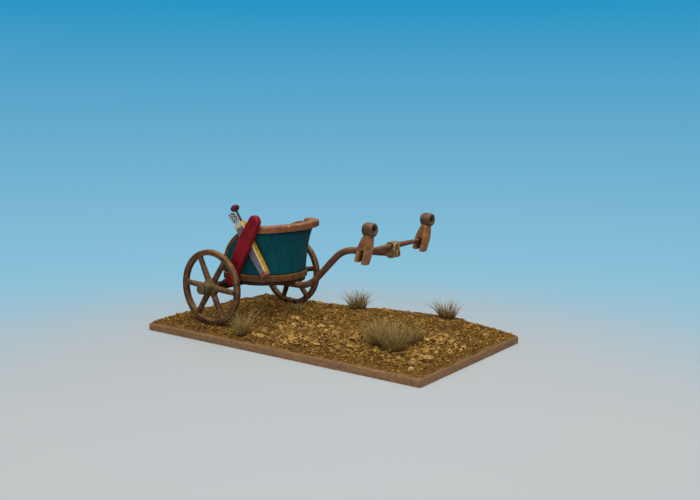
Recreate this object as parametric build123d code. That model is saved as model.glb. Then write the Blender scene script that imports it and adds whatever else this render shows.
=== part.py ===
"""Painted white-metal miniature of a light two-horse war chariot on its scenic plinth.

Frame: millimetres, +X towards the yoke, +Y to the far side, +Z up, origin at the centre
of the plinth's underside. The near side is -Y.
"""
from build123d import *
from math import atan2, cos, degrees, hypot, radians, sin
import os

# Plinth and its textured ground
PLINTH_LENGTH = 90.0
PLINTH_WIDTH = 50.0
PLINTH_THICKNESS = 2.1
PLINTH_EDGE_BEVEL = 0.4
GROUND_INSET = 0.45
GROUND_THICKNESS = 0.95   # usual height of the ground above the plate
STONE_SIZE = 2.0
STONE_SUNK = 0.3          # share of a stone's height that is pressed into the ground
TUFT_HEIGHT = 5.0
TUFT_FOOT = 3.4
TUFT_FOOT_DEPTH = 0.3

# Wheels and axle
AXLE_X = -27.9
WHEEL_RADIUS = 10.6
WHEEL_SINK = 0.5          # how far the rims stand in the ground's ruts
WHEEL_CLEARANCE = 1.1     # from the bow case to the near wheel's rim
RIM_WIDTH = 1.7
RIM_DEPTH = 1.6
RIM_BEVEL = 0.25
SPOKE_COUNT = 6
SPOKE_RIM_DIAMETER = 1.5
SPOKE_HUB_DIAMETER = 1.8
SPOKE_TENON = 0.45        # how far a spoke's ends enter the rim and the hub ring
HUB_RING_DIAMETER = 4.6
HUB_RING_WIDTH = 2.2
NAVE_DIAMETER = 4.0
NAVE_END_DIAMETER = 3.0
NAVE_SLEEVE_DIAMETER = 2.7
NAVE_OUTBOARD = 3.4       # from the wheel's middle plane to the nave's outer face
NAVE_INBOARD = 1.9
STUB_DIAMETER = 1.8
RUNNING_CLEARANCE = 0.05  # radial, stub in nave
END_PLAY = 0.3            # beside the nave, at the shoulder and at the cap
CAP_DIAMETER = 2.8
CAP_THICKNESS = 0.8
RUT_CLEARANCE = 0.25
AXLE_DEPTH = 2.2
AXLE_HEIGHT = 2.2
AXLE_EDGE_BEVEL = 0.3
AXLE_SEAT_LENGTH = 2.6

# Cab, from the floor frame up
CAB_FRONT_X = -11.0
FRAME_HALF_WIDTH = 11.4
FRAME_SHOULDER = 2.8       # of the corner arcs' centres from the middle line
FRAME_EASE = 1.9           # of the corner arcs' centres from the front, past their radius
FRAME_ABOVE_AXLE = 1.45    # from the axle's centre to the frame's underside
FRAME_HEIGHT = 2.0
FRAME_WIDTH = 2.0
FRAME_EDGE_BEVEL = 0.3
FRAME_REAR_OVERHANG = 1.1  # of the frame behind the axle's centre
BEARER_INSET = 0.6
BEARER_HEIGHT = 1.0
BEARER_WIDTH = 1.5
FLOOR_THICKNESS = 0.9
FLOOR_RECESS = 0.5         # of the floor below the frame's top
SKIN_THICKNESS = 0.9
SKIN_FOOT_INSET = 0.4      # of the skin's foot from the frame's outer edge
RAIL_FRONT_X = -9.3
RAIL_CORNER_RADIUS = 5.0
RAIL_EASE = 1.9            # of the corner arcs' centres from the front, past their radius
RAIL_STRAIGHT = 1.1        # of the rail behind its corners
WALL_HEIGHT = 12.2         # of the painted wall, from the frame to the rail
RAIL_HEIGHT = 1.9
RAIL_WIDTH = 2.9
RAIL_OVERHANG = 1.7        # of the rail outside the skin
RAIL_BEVEL = 0.35
SIDE_RAIL_HEIGHT = 1.1
SIDE_RAIL_WIDTH = 1.3
REAR_WALL_INSET = 0.4      # of the side wall's rear foot from the frame's rear

# Draught gear
POLE_DIAMETER = 1.9
POLE_ABOVE_AXLE = 0.1
POLE_BEND_X = -7.0
POLE_NECK_X = 4.6          # of the upper bend
POLE_NECK_RISE = 11.45     # of the upper bend above the level part
POLE_TIP_X = 22.6
POLE_TIP_RISE = 12.25
POLE_BEND_RADIUS = 9.0
YOKE_X = 20.7
YOKE_TENON = 0.4           # how far the yoke runs past a saddle's middle
YOKE_DIAMETER = 1.6
YOKE_END_DIAMETER = 1.1
SADDLE_Y = 13.5
SADDLE_THICKNESS = 2.8
KNOB_FORWARD = 2.2         # of the knob's middle ahead of the yoke
KNOB_RISE = 5.73           # of the knob's middle above the yoke
KNOB_DIAMETER = 3.7
KNOB_WAIST_DIAMETER = 3.3
KNOB_LENGTH = 2.3
KNOB_FLANGE = 0.7          # thickness of each flange of the reel
REIN_HOLE_DIAMETER = 1.3
YOKE_SLOT_GAP = 0.03
LASHING_LENGTH = 2.6
LASHING_WIDTH = 3.0
LASHING_WALL = 0.35
LASHING_BEVEL = 0.3

# Cases on the near side
BOW_CASE_THICKNESS = 1.8
BOW_CASE_FOOT = (-23.6, -2.6)   # X and height above the frame's top
BOW_CASE_HEAD = (-14.1, 15.6)
BOW_CASE_FOOT_WIDTH = 2.6
BOW_CASE_HEAD_WIDTH = 3.6
BOW_CASE_BACK_BOW = 1.1    # outward bow of the rear edge
BOW_CASE_FRONT_BOW = 0.1
BOW_CASE_CORNER = 0.8
BOW_CASE_BEVEL = 0.4
CASE_GAP = 0.05            # between the bow case and what it lies against
QUIVER_FOOT_X = -12.3
QUIVER_FOOT_RISE = 0.7     # above the frame's top
QUIVER_MOUTH_X = -21.4
QUIVER_MOUTH_RISE = 14.4
QUIVER_WIDTH = 3.3         # at the mouth
QUIVER_FOOT_WIDTH = 2.0
QUIVER_DEPTH = 1.9
QUIVER_WALL = 0.3
QUIVER_BACK_GAP = 0.1      # between the quiver's flat back and the wall
QUIVER_MOUTH_DEPTH = 1.4
QUIVER_TIP = 0.9
ARROW_LENGTH = 5.4
ARROW_LEAN = 11            # degrees to the rear of the quiver's axis
ARROW_SHAFT_DIAMETER = 0.4
ARROW_SHIFT = 0.22         # of each foot, away from the wall behind it
FLETCHING_WIDTH = 0.8
FLETCHING_LENGTH = 3.0
ROD_DIAMETER = 0.7
ROD_LENGTH = 4.9
ROD_KNOB_DIAMETER = 2.6
ROD_KNOB_FLATNESS = 0.72    # height over diameter

SEAT_GAP = 0.02            # left between curved faces that bed on each other

# Levels and places that follow from the sizes
WHEEL_Z = PLINTH_THICKNESS + GROUND_THICKNESS - WHEEL_SINK + WHEEL_RADIUS
FRAME_BOTTOM_Z = WHEEL_Z + FRAME_ABOVE_AXLE
FRAME_TOP_Z = FRAME_BOTTOM_Z + FRAME_HEIGHT
RAIL_BOTTOM_Z = FRAME_TOP_Z + WALL_HEIGHT
FRAME_REAR_X = AXLE_X - FRAME_REAR_OVERHANG
REAR_WALL_X = FRAME_REAR_X + REAR_WALL_INSET
RAIL_END_X = RAIL_FRONT_X - RAIL_CORNER_RADIUS - RAIL_EASE - RAIL_STRAIGHT
AXLE_FRONT_X = AXLE_X + AXLE_DEPTH / 2
POLE_Z = WHEEL_Z + POLE_ABOVE_AXLE
POLE_TIP_Z = POLE_Z + POLE_TIP_RISE
YOKE_Z = POLE_TIP_Z + POLE_DIAMETER / 2 + YOKE_DIAMETER / 2 + SEAT_GAP
YOKE_HALF_LENGTH = SADDLE_Y + YOKE_TENON
KNOB_X = YOKE_X + KNOB_FORWARD
KNOB_Z = YOKE_Z + KNOB_RISE
WALL_FOOT_Y = FRAME_HALF_WIDTH - SKIN_FOOT_INSET
WALL_HEAD_Y = FRAME_HALF_WIDTH
RAIL_HALF_WIDTH = WALL_HEAD_Y + RAIL_OVERHANG
WALL_LEAN = (WALL_HEAD_Y - WALL_FOOT_Y) / WALL_HEIGHT
QUIVER_OUT = QUIVER_BACK_GAP + QUIVER_DEPTH / 2
QUIVER_FOOT_Y = WALL_FOOT_Y + WALL_LEAN * QUIVER_FOOT_RISE + QUIVER_OUT
QUIVER_MOUTH_Y = WALL_FOOT_Y + WALL_LEAN * QUIVER_MOUTH_RISE + QUIVER_OUT
QUIVER_FACE_Y = max(QUIVER_FOOT_Y, QUIVER_MOUTH_Y) + QUIVER_DEPTH / 2 + QUIVER_BACK_GAP
CASE_BACK_Y = max(QUIVER_FACE_Y, RAIL_HALF_WIDTH) + CASE_GAP
CASE_FACE_Y = CASE_BACK_Y + BOW_CASE_THICKNESS
WHEEL_Y = CASE_FACE_Y + WHEEL_CLEARANCE + RIM_WIDTH / 2
SHOULDER_Y = WHEEL_Y - NAVE_INBOARD - END_PLAY
CAP_INNER_Y = WHEEL_Y + NAVE_OUTBOARD + END_PLAY
SIDES = (("near", -1), ("far", 1))
SPOKE_TURN = {-1: -3.7, 1: 9.0}   # degrees from a spoke to the forward direction

# Heights of the ground above the plate, as shares of its usual height, on an even lattice:
# a row from the rear to the front at each step from the near edge to the far edge
GROUND_HEIGHTS = (
    (0.3, 0.5, 0.4, 0.3, 0.4, 0.7, 0.5, 0.7, 0.5, 0.6, 0.5, 0.4, 0.3),
    (0.9, 1.5, 0.9, 0.9, 1.1, 1.7, 1.3, 1.8, 1.3, 1.7, 1.2, 1.1, 0.7),
    (0.8, 1.2, 1.4, 1.4, 2.1, 1.9, 1.8, 2.3, 1.7, 2.0, 1.6, 1.4, 0.9),
    (0.9, 1.4, 1.6, 1.8, 2.6, 2.3, 1.8, 2.2, 2.0, 2.4, 2.2, 1.4, 0.8),
    (1.1, 1.6, 1.3, 1.2, 1.9, 2.3, 2.3, 2.7, 2.6, 2.9, 2.4, 1.8, 0.9),
    (0.6, 0.9, 1.0, 1.0, 1.3, 1.7, 2.5, 3.0, 3.2, 3.4, 3.1, 2.0, 0.8),
    (0.3, 0.3, 0.4, 0.4, 0.6, 1.1, 1.6, 2.0, 2.3, 2.4, 2.2, 1.2, 0.4),
)

# Stones: X and Y as shares of the plinth's half length and half width, size as a multiple
# of the usual size, turn in degrees, height as a share of the size
STONES = (
    (0.907, -0.596, 1.7, 25, 0.62), (-0.133, -0.848, 1.0, 50, 0.7),
    (0.244, -0.792, 1.1, 10, 0.7), (0.347, -0.552, 1.0, 70, 0.7),
    (-0.169, -0.172, 1.3, 35, 0.65), (0.069, -0.896, 0.8, 60, 0.75),
    (0.391, -0.876, 0.9, 15, 0.7), (0.902, -0.880, 1.0, 40, 0.6),
    (0.784, 0.004, 1.2, 5, 0.7), (0.900, 0.588, 0.9, 30, 0.7),
    (0.784, 0.520, 0.9, 65, 0.65), (-0.267, 0.760, 0.9, 20, 0.7),
    (0.278, 0.832, 1.0, 45, 0.65), (-0.889, -0.480, 1.0, 55, 0.7),
)

# Tufts of dry grass: X and Y as shares of the plinth's half length and half width, foot
# and height as multiples of the usual ones
TUFTS = (
    (-0.273, -0.864, 0.9, 1.0), (-0.053, 0.680, 1.1, 1.0), (0.656, -0.500, 1.3, 1.1),
    (0.667, -0.180, 1.1, 1.0), (0.478, -0.180, 1.1, 1.0), (0.533, -0.440, 1.0, 1.0),
    (0.558, 0.840, 1.1, 0.9), (-0.356, 0.240, 0.9, 0.7),
)

# Side view of a yoke saddle: X and Z from the knob's middle
SADDLE_OUTLINE = (
    (-1.6, -1.1), (-4.3, -8.0), (-2.6, -8.6), (-0.5, -4.6), (-1.9, -8.8), (-0.8, -9.1),
    (1.0, -5.6), (1.5, -3.0), (1.4, -1.1),
)


def plan_outline(front_x, corner_radius, ease, half_width, rear_x):
    """Closed plan: a front arc, two tangent corner arcs, straight sides and a straight rear."""
    front_depth = corner_radius + ease
    corner_y = half_width - corner_radius
    corner_x = front_x - front_depth
    front_radius = (front_depth ** 2 + corner_y ** 2 - corner_radius ** 2) / (2 * ease)
    front_centre = front_x - front_radius
    angle = atan2(corner_y, corner_x - front_centre)
    half = angle / 2 + radians(45)
    join = (front_centre + front_radius * cos(angle), front_radius * sin(angle))
    middle = (corner_x + corner_radius * cos(half), corner_y + corner_radius * sin(half))
    side = (corner_x, half_width)
    right = [(x, -y) for x, y in (join, middle, side)]
    edges = [
        ThreePointArc(right[0], (front_x, 0), join),
        ThreePointArc(join, middle, side),
        Line(side, (rear_x, half_width)),
        Line((rear_x, half_width), (rear_x, -half_width)),
        Line((rear_x, -half_width), right[2]),
        ThreePointArc(right[2], right[1], right[0]),
    ]
    return make_face(edges)


def frame_plan(inset, rear_x):
    """Plan of the floor frame, drawn in by an inset."""
    corner_radius = FRAME_HALF_WIDTH - FRAME_SHOULDER - inset
    return plan_outline(CAB_FRONT_X - inset, corner_radius, FRAME_EASE,
                        FRAME_HALF_WIDTH - inset, rear_x)


def rail_plan(inset, rear_x):
    """Plan of the top rail, drawn in by an inset."""
    return plan_outline(RAIL_FRONT_X - inset, RAIL_CORNER_RADIUS - inset, RAIL_EASE,
                        RAIL_HALF_WIDTH - inset, rear_x)


def prism(face, bottom, height):
    """A plan face stood up from a level by a height."""
    return Pos(0, 0, bottom) * extrude(face, height)


def side_prism(points, middle_y, width):
    """A closed outline in X and Z, extruded evenly to both sides of a Y."""
    face = Plane.XZ * make_face(Polyline(*points, close=True))
    return Pos(0, middle_y, 0) * extrude(face, width / 2, both=True)


def disc(radius, width, x, y, z):
    """A cylinder lying across the chariot."""
    return Pos(x, y, z) * Rot(X=90) * Cylinder(radius, width)


def half_y(side, distance):
    """Place at a distance from the middle line, on the side given by its sign."""
    return side * distance


def plinth_plate():
    """Thin board with a bevelled upper edge."""
    board = Pos(0, 0, PLINTH_THICKNESS / 2) * Box(PLINTH_LENGTH, PLINTH_WIDTH, PLINTH_THICKNESS)
    return chamfer(board.faces().sort_by(Axis.Z)[-1].edges(), PLINTH_EDGE_BEVEL)


def on_plinth(share_x, share_y):
    """Place given by shares of the plinth's half length and half width."""
    return share_x * PLINTH_LENGTH / 2, share_y * PLINTH_WIDTH / 2


def stone(share_x, share_y, size, turn, squash):
    """One angular stone: a bevelled block, turned, with its foot in the ground."""
    x, y = on_plinth(share_x, share_y)
    length = size * STONE_SIZE
    height = length * squash
    block = chamfer(Box(length, length * 0.8, height).edges(), height * 0.28)
    return Pos(x, y, ground_top(x, y) + height * (0.5 - STONE_SUNK)) * Rot(Z=turn) * block


def lattice_point(row, column):
    """Corner of the ground's surface at a row and column of its table of heights."""
    x = (column / (len(GROUND_HEIGHTS[0]) - 1) - 0.5) * (PLINTH_LENGTH - 2 * GROUND_INSET)
    y = (row / (len(GROUND_HEIGHTS) - 1) - 0.5) * (PLINTH_WIDTH - 2 * GROUND_INSET)
    return Vector(x, y, PLINTH_THICKNESS + GROUND_THICKNESS * GROUND_HEIGHTS[row][column])


def ground_top(x, y):
    """Level of the ground at a place, straight between the table's points."""
    columns, rows = len(GROUND_HEIGHTS[0]) - 1, len(GROUND_HEIGHTS) - 1
    across = (x / (PLINTH_LENGTH - 2 * GROUND_INSET) + 0.5) * columns
    along = (y / (PLINTH_WIDTH - 2 * GROUND_INSET) + 0.5) * rows
    column = min(max(int(across), 0), columns - 1)
    row = min(max(int(along), 0), rows - 1)
    s, t = across - column, along - row
    near = lattice_point(row, column).Z * (1 - s) + lattice_point(row, column + 1).Z * s
    far = lattice_point(row + 1, column).Z * (1 - s) + lattice_point(row + 1, column + 1).Z * s
    return near * (1 - t) + far * t


def tuft(share_x, share_y, foot, height):
    """Closed stand-in for one tuft: eight-sided, spreading upwards."""
    x, y = on_plinth(share_x, share_y)
    base = RegularPolygon(foot * TUFT_FOOT / 2, 8)
    return Pos(x, y, ground_top(x, y) - TUFT_FOOT_DEPTH) * extrude(
        base, height * TUFT_HEIGHT, taper=-9)


def polygon(points):
    """Flat face through a closed run of points."""
    return Face(Wire.make_polygon(points, close=True))


def ground_block():
    """Uneven ground before it is cut: facets over a flat underside."""
    rows, columns = len(GROUND_HEIGHTS), len(GROUND_HEIGHTS[0])
    top = [[lattice_point(row, column) for column in range(columns)] for row in range(rows)]
    faces = []
    for near, far in zip(top, top[1:]):
        for a, b, c, d in zip(near, near[1:], far[1:], far):
            if (a.Z + c.Z) > (b.Z + d.Z):
                faces += [polygon([a, b, c]), polygon([a, c, d])]
            else:
                faces += [polygon([a, b, d]), polygon([b, c, d])]
    borders = (top[0], [row[-1] for row in top], top[-1][::-1], [row[0] for row in top][::-1])
    for border in borders:
        feet = [Vector(p.X, p.Y, PLINTH_THICKNESS) for p in (border[-1], border[0])]
        faces.append(polygon(border + feet))
    corners = [border[0] for border in borders]
    faces.append(polygon([Vector(p.X, p.Y, PLINTH_THICKNESS) for p in corners]))
    return Solid(Shell(faces))


def ground(stones, tufts):
    """Uneven ground with a rut for each wheel and seats for the stones and tufts."""
    rut_width = RIM_WIDTH + 2 * RUT_CLEARANCE
    ruts = [disc(WHEEL_RADIUS + RUT_CLEARANCE, rut_width,
                 AXLE_X, half_y(side, WHEEL_Y), WHEEL_Z) for _, side in SIDES]
    return ground_block() - ruts - stones - tufts


def wheel_rim(side):
    """Felloe ring with bevelled edges and six mortises for the spokes."""
    y = half_y(side, WHEEL_Y)
    ring = Rot(X=90) * (Cylinder(WHEEL_RADIUS, RIM_WIDTH)
                        - Cylinder(WHEEL_RADIUS - RIM_DEPTH, RIM_WIDTH))
    ring = chamfer(ring.edges().filter_by(GeomType.CIRCLE), RIM_BEVEL) - spoke_cones(SEAT_GAP)
    return Pos(AXLE_X, y, WHEEL_Z) * Rot(Y=-SPOKE_TURN[side]) * ring


def spoke_cones(grow=0.0):
    """The tapered spokes of a wheel about its centre; grown to cut their mortises."""
    foot = HUB_RING_DIAMETER / 2 - SPOKE_TENON
    reach = WHEEL_RADIUS - RIM_DEPTH + SPOKE_TENON + grow - foot
    spoke = Pos(foot + reach / 2, 0, 0) * Rot(Y=90) * Cone(
        SPOKE_HUB_DIAMETER / 2 + grow, SPOKE_RIM_DIAMETER / 2 + grow, reach)
    return [Rot(Y=-number * 360 / SPOKE_COUNT) * spoke for number in range(SPOKE_COUNT)]


def wheel_spokes(side):
    """Six tapered spokes run together at a bored hub ring."""
    hub = Rot(X=90) * Cylinder(HUB_RING_DIAMETER / 2, HUB_RING_WIDTH)
    bore = Rot(X=90) * Cylinder(NAVE_SLEEVE_DIAMETER / 2 + SEAT_GAP, 2 * HUB_RING_WIDTH)
    star = hub + spoke_cones() - bore
    y = half_y(side, WHEEL_Y)
    return Pos(AXLE_X, y, WHEEL_Z) * Rot(Y=-SPOKE_TURN[side]) * star


def nave(side):
    """Turned nave: a barrel outboard, a sleeve through the hub ring, bored for the stub."""
    face = HUB_RING_WIDTH / 2
    bore = STUB_DIAMETER / 2 + RUNNING_CLEARANCE
    barrel = Pos(0, 0, (face + NAVE_OUTBOARD) / 2) * Cone(
        NAVE_DIAMETER / 2, NAVE_END_DIAMETER / 2, NAVE_OUTBOARD - face)
    sleeve_length = NAVE_INBOARD + face
    sleeve = Pos(0, 0, face - sleeve_length / 2) * Cylinder(NAVE_SLEEVE_DIAMETER / 2,
                                                            sleeve_length)
    whole = barrel + sleeve - Cylinder(bore, 4 * NAVE_OUTBOARD)
    return Pos(AXLE_X, half_y(side, WHEEL_Y), WHEEL_Z) * Rot(X=-90 * side) * whole


def axle():
    """Square axle with two raised seats for the floor frame and turned stubs."""
    bar = Pos(AXLE_X, 0, WHEEL_Z) * Box(AXLE_DEPTH, 2 * SHOULDER_Y, AXLE_HEIGHT)
    bar = chamfer(bar.edges().filter_by(Axis.Y), AXLE_EDGE_BEVEL)
    seat_height = FRAME_BOTTOM_Z - WHEEL_Z
    for _, side in SIDES:
        y = half_y(side, FRAME_HALF_WIDTH - FRAME_WIDTH / 2)
        bar += Pos(AXLE_X, y, WHEEL_Z + seat_height / 2) * Box(
            AXLE_DEPTH, AXLE_SEAT_LENGTH, seat_height)
    stub = Pos(AXLE_X, 0, WHEEL_Z) * Rot(X=90) * Cylinder(STUB_DIAMETER / 2,
                                                          2 * (CAP_INNER_Y + CAP_THICKNESS / 2))
    return bar + stub


def axle_cap(side):
    """Bevelled disc on the stub's end that keeps the wheel on."""
    cap = Cylinder(CAP_DIAMETER / 2, CAP_THICKNESS)
    cap = chamfer(cap.edges().sort_by(Axis.Z)[-1], CAP_THICKNESS * 0.4)
    cap -= Pos(0, 0, -CAP_THICKNESS / 2) * Cylinder(STUB_DIAMETER / 2 + SEAT_GAP, CAP_THICKNESS)
    y = half_y(side, CAP_INNER_Y + CAP_THICKNESS / 2)
    return Pos(AXLE_X, y, WHEEL_Z) * Rot(X=-90 * side) * cap


def floor_frame():
    """Bent-wood floor frame: a D-shaped ring with its straight bar over the axle."""
    ring = frame_plan(0, FRAME_REAR_X) - frame_plan(FRAME_WIDTH, FRAME_REAR_X + FRAME_WIDTH)
    ring = prism(ring, FRAME_BOTTOM_Z, FRAME_HEIGHT)
    front_edges = ring.edges().filter_by_position(
        Axis.Z, FRAME_BOTTOM_Z - 0.01, FRAME_BOTTOM_Z + 0.01)
    outer = [e for e in front_edges if on_outline(e)]
    return chamfer(outer, FRAME_EDGE_BEVEL)


def on_outline(edge):
    """Whether an edge of the floor frame lies on its outer front or side outline."""
    point = edge.position_at(0.5)
    if point.X < FRAME_REAR_X + FRAME_WIDTH / 2:
        return False
    inner = frame_plan(FRAME_WIDTH / 2, FRAME_REAR_X)
    return not inner.is_inside(Vector(point.X, point.Y, 0))


def floor_bearer():
    """Darker under-ring that carries the frame and lets the pole through."""
    rear = AXLE_FRONT_X + SEAT_GAP
    ring = frame_plan(BEARER_INSET, rear) - frame_plan(BEARER_INSET + BEARER_WIDTH,
                                                       rear - BEARER_WIDTH)
    ring = prism(ring, FRAME_BOTTOM_Z - BEARER_HEIGHT, BEARER_HEIGHT)
    return ring - pole(SEAT_GAP)


def cab_floor():
    """Floor panel let into the frame."""
    inset = FRAME_WIDTH + SEAT_GAP
    panel = frame_plan(inset, FRAME_REAR_X + inset)
    return prism(panel, FRAME_TOP_Z - FLOOR_RECESS - FLOOR_THICKNESS, FLOOR_THICKNESS)


def skin_block(inset, rear_x):
    """Solid between the skin's foot and its head, drawn in by an inset."""
    foot = Pos(0, 0, FRAME_TOP_Z) * frame_plan(SKIN_FOOT_INSET + inset, rear_x)
    head = Pos(0, 0, RAIL_BOTTOM_Z) * rail_plan(RAIL_OVERHANG + inset, rear_x)
    return loft([foot, head], ruled=True)


def rear_arc(grow):
    """Head, middle and foot of the quarter arc in which a side wall falls from the rail's
    end to the frame; grown outwards for the side rail's own outer edge."""
    reach = RAIL_END_X - REAR_WALL_X + grow
    rise = RAIL_BOTTOM_Z - FRAME_TOP_Z + grow
    middle = (RAIL_END_X - reach * cos(radians(45)), FRAME_TOP_Z + rise * sin(radians(45)))
    return (RAIL_END_X, FRAME_TOP_Z + rise), middle, (RAIL_END_X - reach, FRAME_TOP_Z)


def cab_skin():
    """Thin painted wall, open at the rear, its sides curving down to the rear corners."""
    wall = skin_block(0, REAR_WALL_X) - skin_block(SKIN_THICKNESS, REAR_WALL_X - SKIN_THICKNESS)
    head, middle, foot = rear_arc(0)
    front_x = CAB_FRONT_X + RAIL_WIDTH
    side = make_face([
        ThreePointArc(head, middle, foot), Line(foot, (front_x, foot[1])),
        Line((front_x, foot[1]), (front_x, head[1])), Line((front_x, head[1]), head)])
    return wall & extrude(Plane.XZ * side, 2 * FRAME_HALF_WIDTH, both=True)


def top_rail():
    """Thick flat rail round the front, cut off square at both ends."""
    ring = rail_plan(0, RAIL_END_X) - rail_plan(RAIL_WIDTH, RAIL_END_X - RAIL_WIDTH)
    rail = prism(ring, RAIL_BOTTOM_Z, RAIL_HEIGHT)
    top_edges = rail.edges().group_by(Axis.Z)[-1]
    round_front = [e for e in top_edges if e.position_at(0.5).X > RAIL_END_X + SEAT_GAP]
    return chamfer(round_front, RAIL_BEVEL)


def side_rail(side):
    """Slim bent bar on the rear edge of one side wall."""
    inner, outer = rear_arc(0), rear_arc(SIDE_RAIL_HEIGHT)
    bar = make_face([ThreePointArc(*inner), Line(inner[2], outer[2]),
                     ThreePointArc(*outer[::-1]), Line(outer[0], inner[0])])
    top = WALL_HEIGHT + SIDE_RAIL_HEIGHT
    lean = WALL_LEAN * top
    section = [(WALL_FOOT_Y, 0), (WALL_FOOT_Y + lean, top),
               (WALL_FOOT_Y + lean - SIDE_RAIL_WIDTH, top), (WALL_FOOT_Y - SIDE_RAIL_WIDTH, 0)]
    section = Plane.YZ * make_face(Polyline(*[(side * y, z) for y, z in section], close=True))
    band = Pos(RAIL_END_X, 0, FRAME_TOP_Z) * extrude(section, -2 * (RAIL_END_X - REAR_WALL_X))
    return band & extrude(Plane.XZ * bar, 2 * RAIL_HALF_WIDTH, both=True)


def pole(grow=0.0):
    """Draught pole: level under the floor, then a swan neck up to the yoke."""
    path = FilletPolyline(
        (AXLE_FRONT_X + SEAT_GAP, 0, POLE_Z), (POLE_BEND_X, 0, POLE_Z),
        (POLE_NECK_X, 0, POLE_Z + POLE_NECK_RISE), (POLE_TIP_X, 0, POLE_TIP_Z),
        radius=POLE_BEND_RADIUS)
    section = Plane(path @ 0, z_dir=path % 0) * Circle(POLE_DIAMETER / 2 + grow)
    return sweep(section, path)


def yoke(grow=0.0):
    """Straight yoke, thickest over the pole and tapered to its ends."""
    half = Pos(0, 0, YOKE_HALF_LENGTH / 2) * Cone(
        YOKE_DIAMETER / 2 + grow, YOKE_END_DIAMETER / 2 + grow, YOKE_HALF_LENGTH)
    return Pos(YOKE_X, 0, YOKE_Z) * (Rot(X=90) * half + Rot(X=-90) * half)


def pole_lashing():
    """Cord binding that ties the yoke down on the pole, as one bevelled wrapping."""
    bottom = POLE_TIP_Z - POLE_DIAMETER / 2 - LASHING_WALL
    top = YOKE_Z + YOKE_DIAMETER / 2 + LASHING_WALL
    wrap = Pos(YOKE_X, 0, (bottom + top) / 2) * Box(LASHING_LENGTH, LASHING_WIDTH, top - bottom)
    return chamfer(wrap.edges(), LASHING_BEVEL) - pole(SEAT_GAP) - yoke(SEAT_GAP)


def yoke_saddle(side):
    """Forked yoke saddle with a reel-shaped knob drilled for the reins."""
    y = half_y(side, SADDLE_Y)
    outline = [(KNOB_X + x, KNOB_Z + z) for x, z in SADDLE_OUTLINE]
    fork = side_prism(outline, y, SADDLE_THICKNESS)
    reel = Cylinder(KNOB_WAIST_DIAMETER / 2, KNOB_LENGTH)
    for end in (-1, 1):
        reel += Pos(0, 0, end * (KNOB_LENGTH - KNOB_FLANGE) / 2) * Cylinder(KNOB_DIAMETER / 2,
                                                                            KNOB_FLANGE)
    knob = Pos(KNOB_X, y, KNOB_Z) * Rot(Y=90) * reel
    hole = Pos(KNOB_X, y, KNOB_Z) * Rot(Y=90) * Cylinder(REIN_HOLE_DIAMETER / 2, 4 * KNOB_LENGTH)
    return fork + knob - hole - yoke(YOKE_SLOT_GAP)


def bow_case_plan():
    """Outline of the bow case: nearly straight in front, bowed behind, its head rounded."""
    foot, head = BOW_CASE_FOOT, BOW_CASE_HEAD
    length = hypot(head[0] - foot[0], head[1] - foot[1])
    lean = degrees(atan2(head[1] - foot[1], head[0] - foot[0]))
    foot_half = BOW_CASE_FOOT_WIDTH / 2
    head_half = BOW_CASE_HEAD_WIDTH / 2
    half = (foot_half + head_half) / 2
    back = ThreePointArc((0, foot_half), (length / 2, half + BOW_CASE_BACK_BOW),
                         (length, head_half))
    front = ThreePointArc((length, -head_half), (length / 2, -half - BOW_CASE_FRONT_BOW),
                          (0, -foot_half))
    tip = ThreePointArc((length, head_half), (length + head_half, 0), (length, -head_half))
    end = Line((0, -foot_half), (0, foot_half))
    leaf = make_face([back, tip, front, end])
    leaf = offset(offset(leaf, -BOW_CASE_CORNER), BOW_CASE_CORNER)
    return Pos(foot[0], FRAME_TOP_Z + foot[1]) * Rot(Z=lean) * leaf


def bow_case():
    """Long leather bow case with bevelled faces."""
    body = Plane.XZ * bow_case_plan()
    middle_y = -(CASE_BACK_Y + CASE_FACE_Y) / 2
    body = Pos(0, middle_y, 0) * extrude(body, BOW_CASE_THICKNESS / 2, both=True)
    return chamfer(body.faces().sort_by(Axis.Y)[0].edges(), BOW_CASE_BEVEL)


def quiver_ends():
    """Middles of the quiver's foot and mouth, its back laid against the painted wall."""
    return (Vector(QUIVER_FOOT_X, -QUIVER_FOOT_Y, FRAME_TOP_Z + QUIVER_FOOT_RISE),
            Vector(QUIVER_MOUTH_X, -QUIVER_MOUTH_Y, FRAME_TOP_Z + QUIVER_MOUTH_RISE))


def quiver_plane():
    """Plane across the quiver's foot, its normal along the case and its X forward."""
    foot, mouth = quiver_ends()
    along = (mouth - foot).normalized()
    return Plane(foot, x_dir=Vector(0, 1, 0).cross(along), z_dir=along)


def quiver_length():
    """Distance from the quiver's foot to its mouth."""
    foot, mouth = quiver_ends()
    return (mouth - foot).length


def quiver():
    """Box-shaped arrow case, narrower at its foot, with a hollow mouth."""
    length = quiver_length()
    half_foot, half_mouth = QUIVER_FOOT_WIDTH / 2, QUIVER_WIDTH / 2
    outline = make_face(Polyline((-half_foot, QUIVER_TIP), (half_foot, QUIVER_TIP),
                                 (half_mouth, length), (-half_mouth, length), close=True))
    body = extrude(Plane.XZ * outline, QUIVER_DEPTH / 2, both=True)
    mouth = Pos(0, 0, length - QUIVER_MOUTH_DEPTH / 2) * Box(
        QUIVER_WIDTH - 2 * QUIVER_WALL, QUIVER_DEPTH - 2 * QUIVER_WALL, QUIVER_MOUTH_DEPTH)
    return quiver_plane() * (body - mouth)


def quiver_tip():
    """Cap on the quiver's foot."""
    cap = Pos(0, 0, QUIVER_TIP / 2) * Box(QUIVER_FOOT_WIDTH, QUIVER_DEPTH, QUIVER_TIP)
    cap = chamfer(cap.faces().sort_by(Axis.Z)[0].edges(), QUIVER_TIP * 0.3)
    return quiver_plane() * cap


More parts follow.
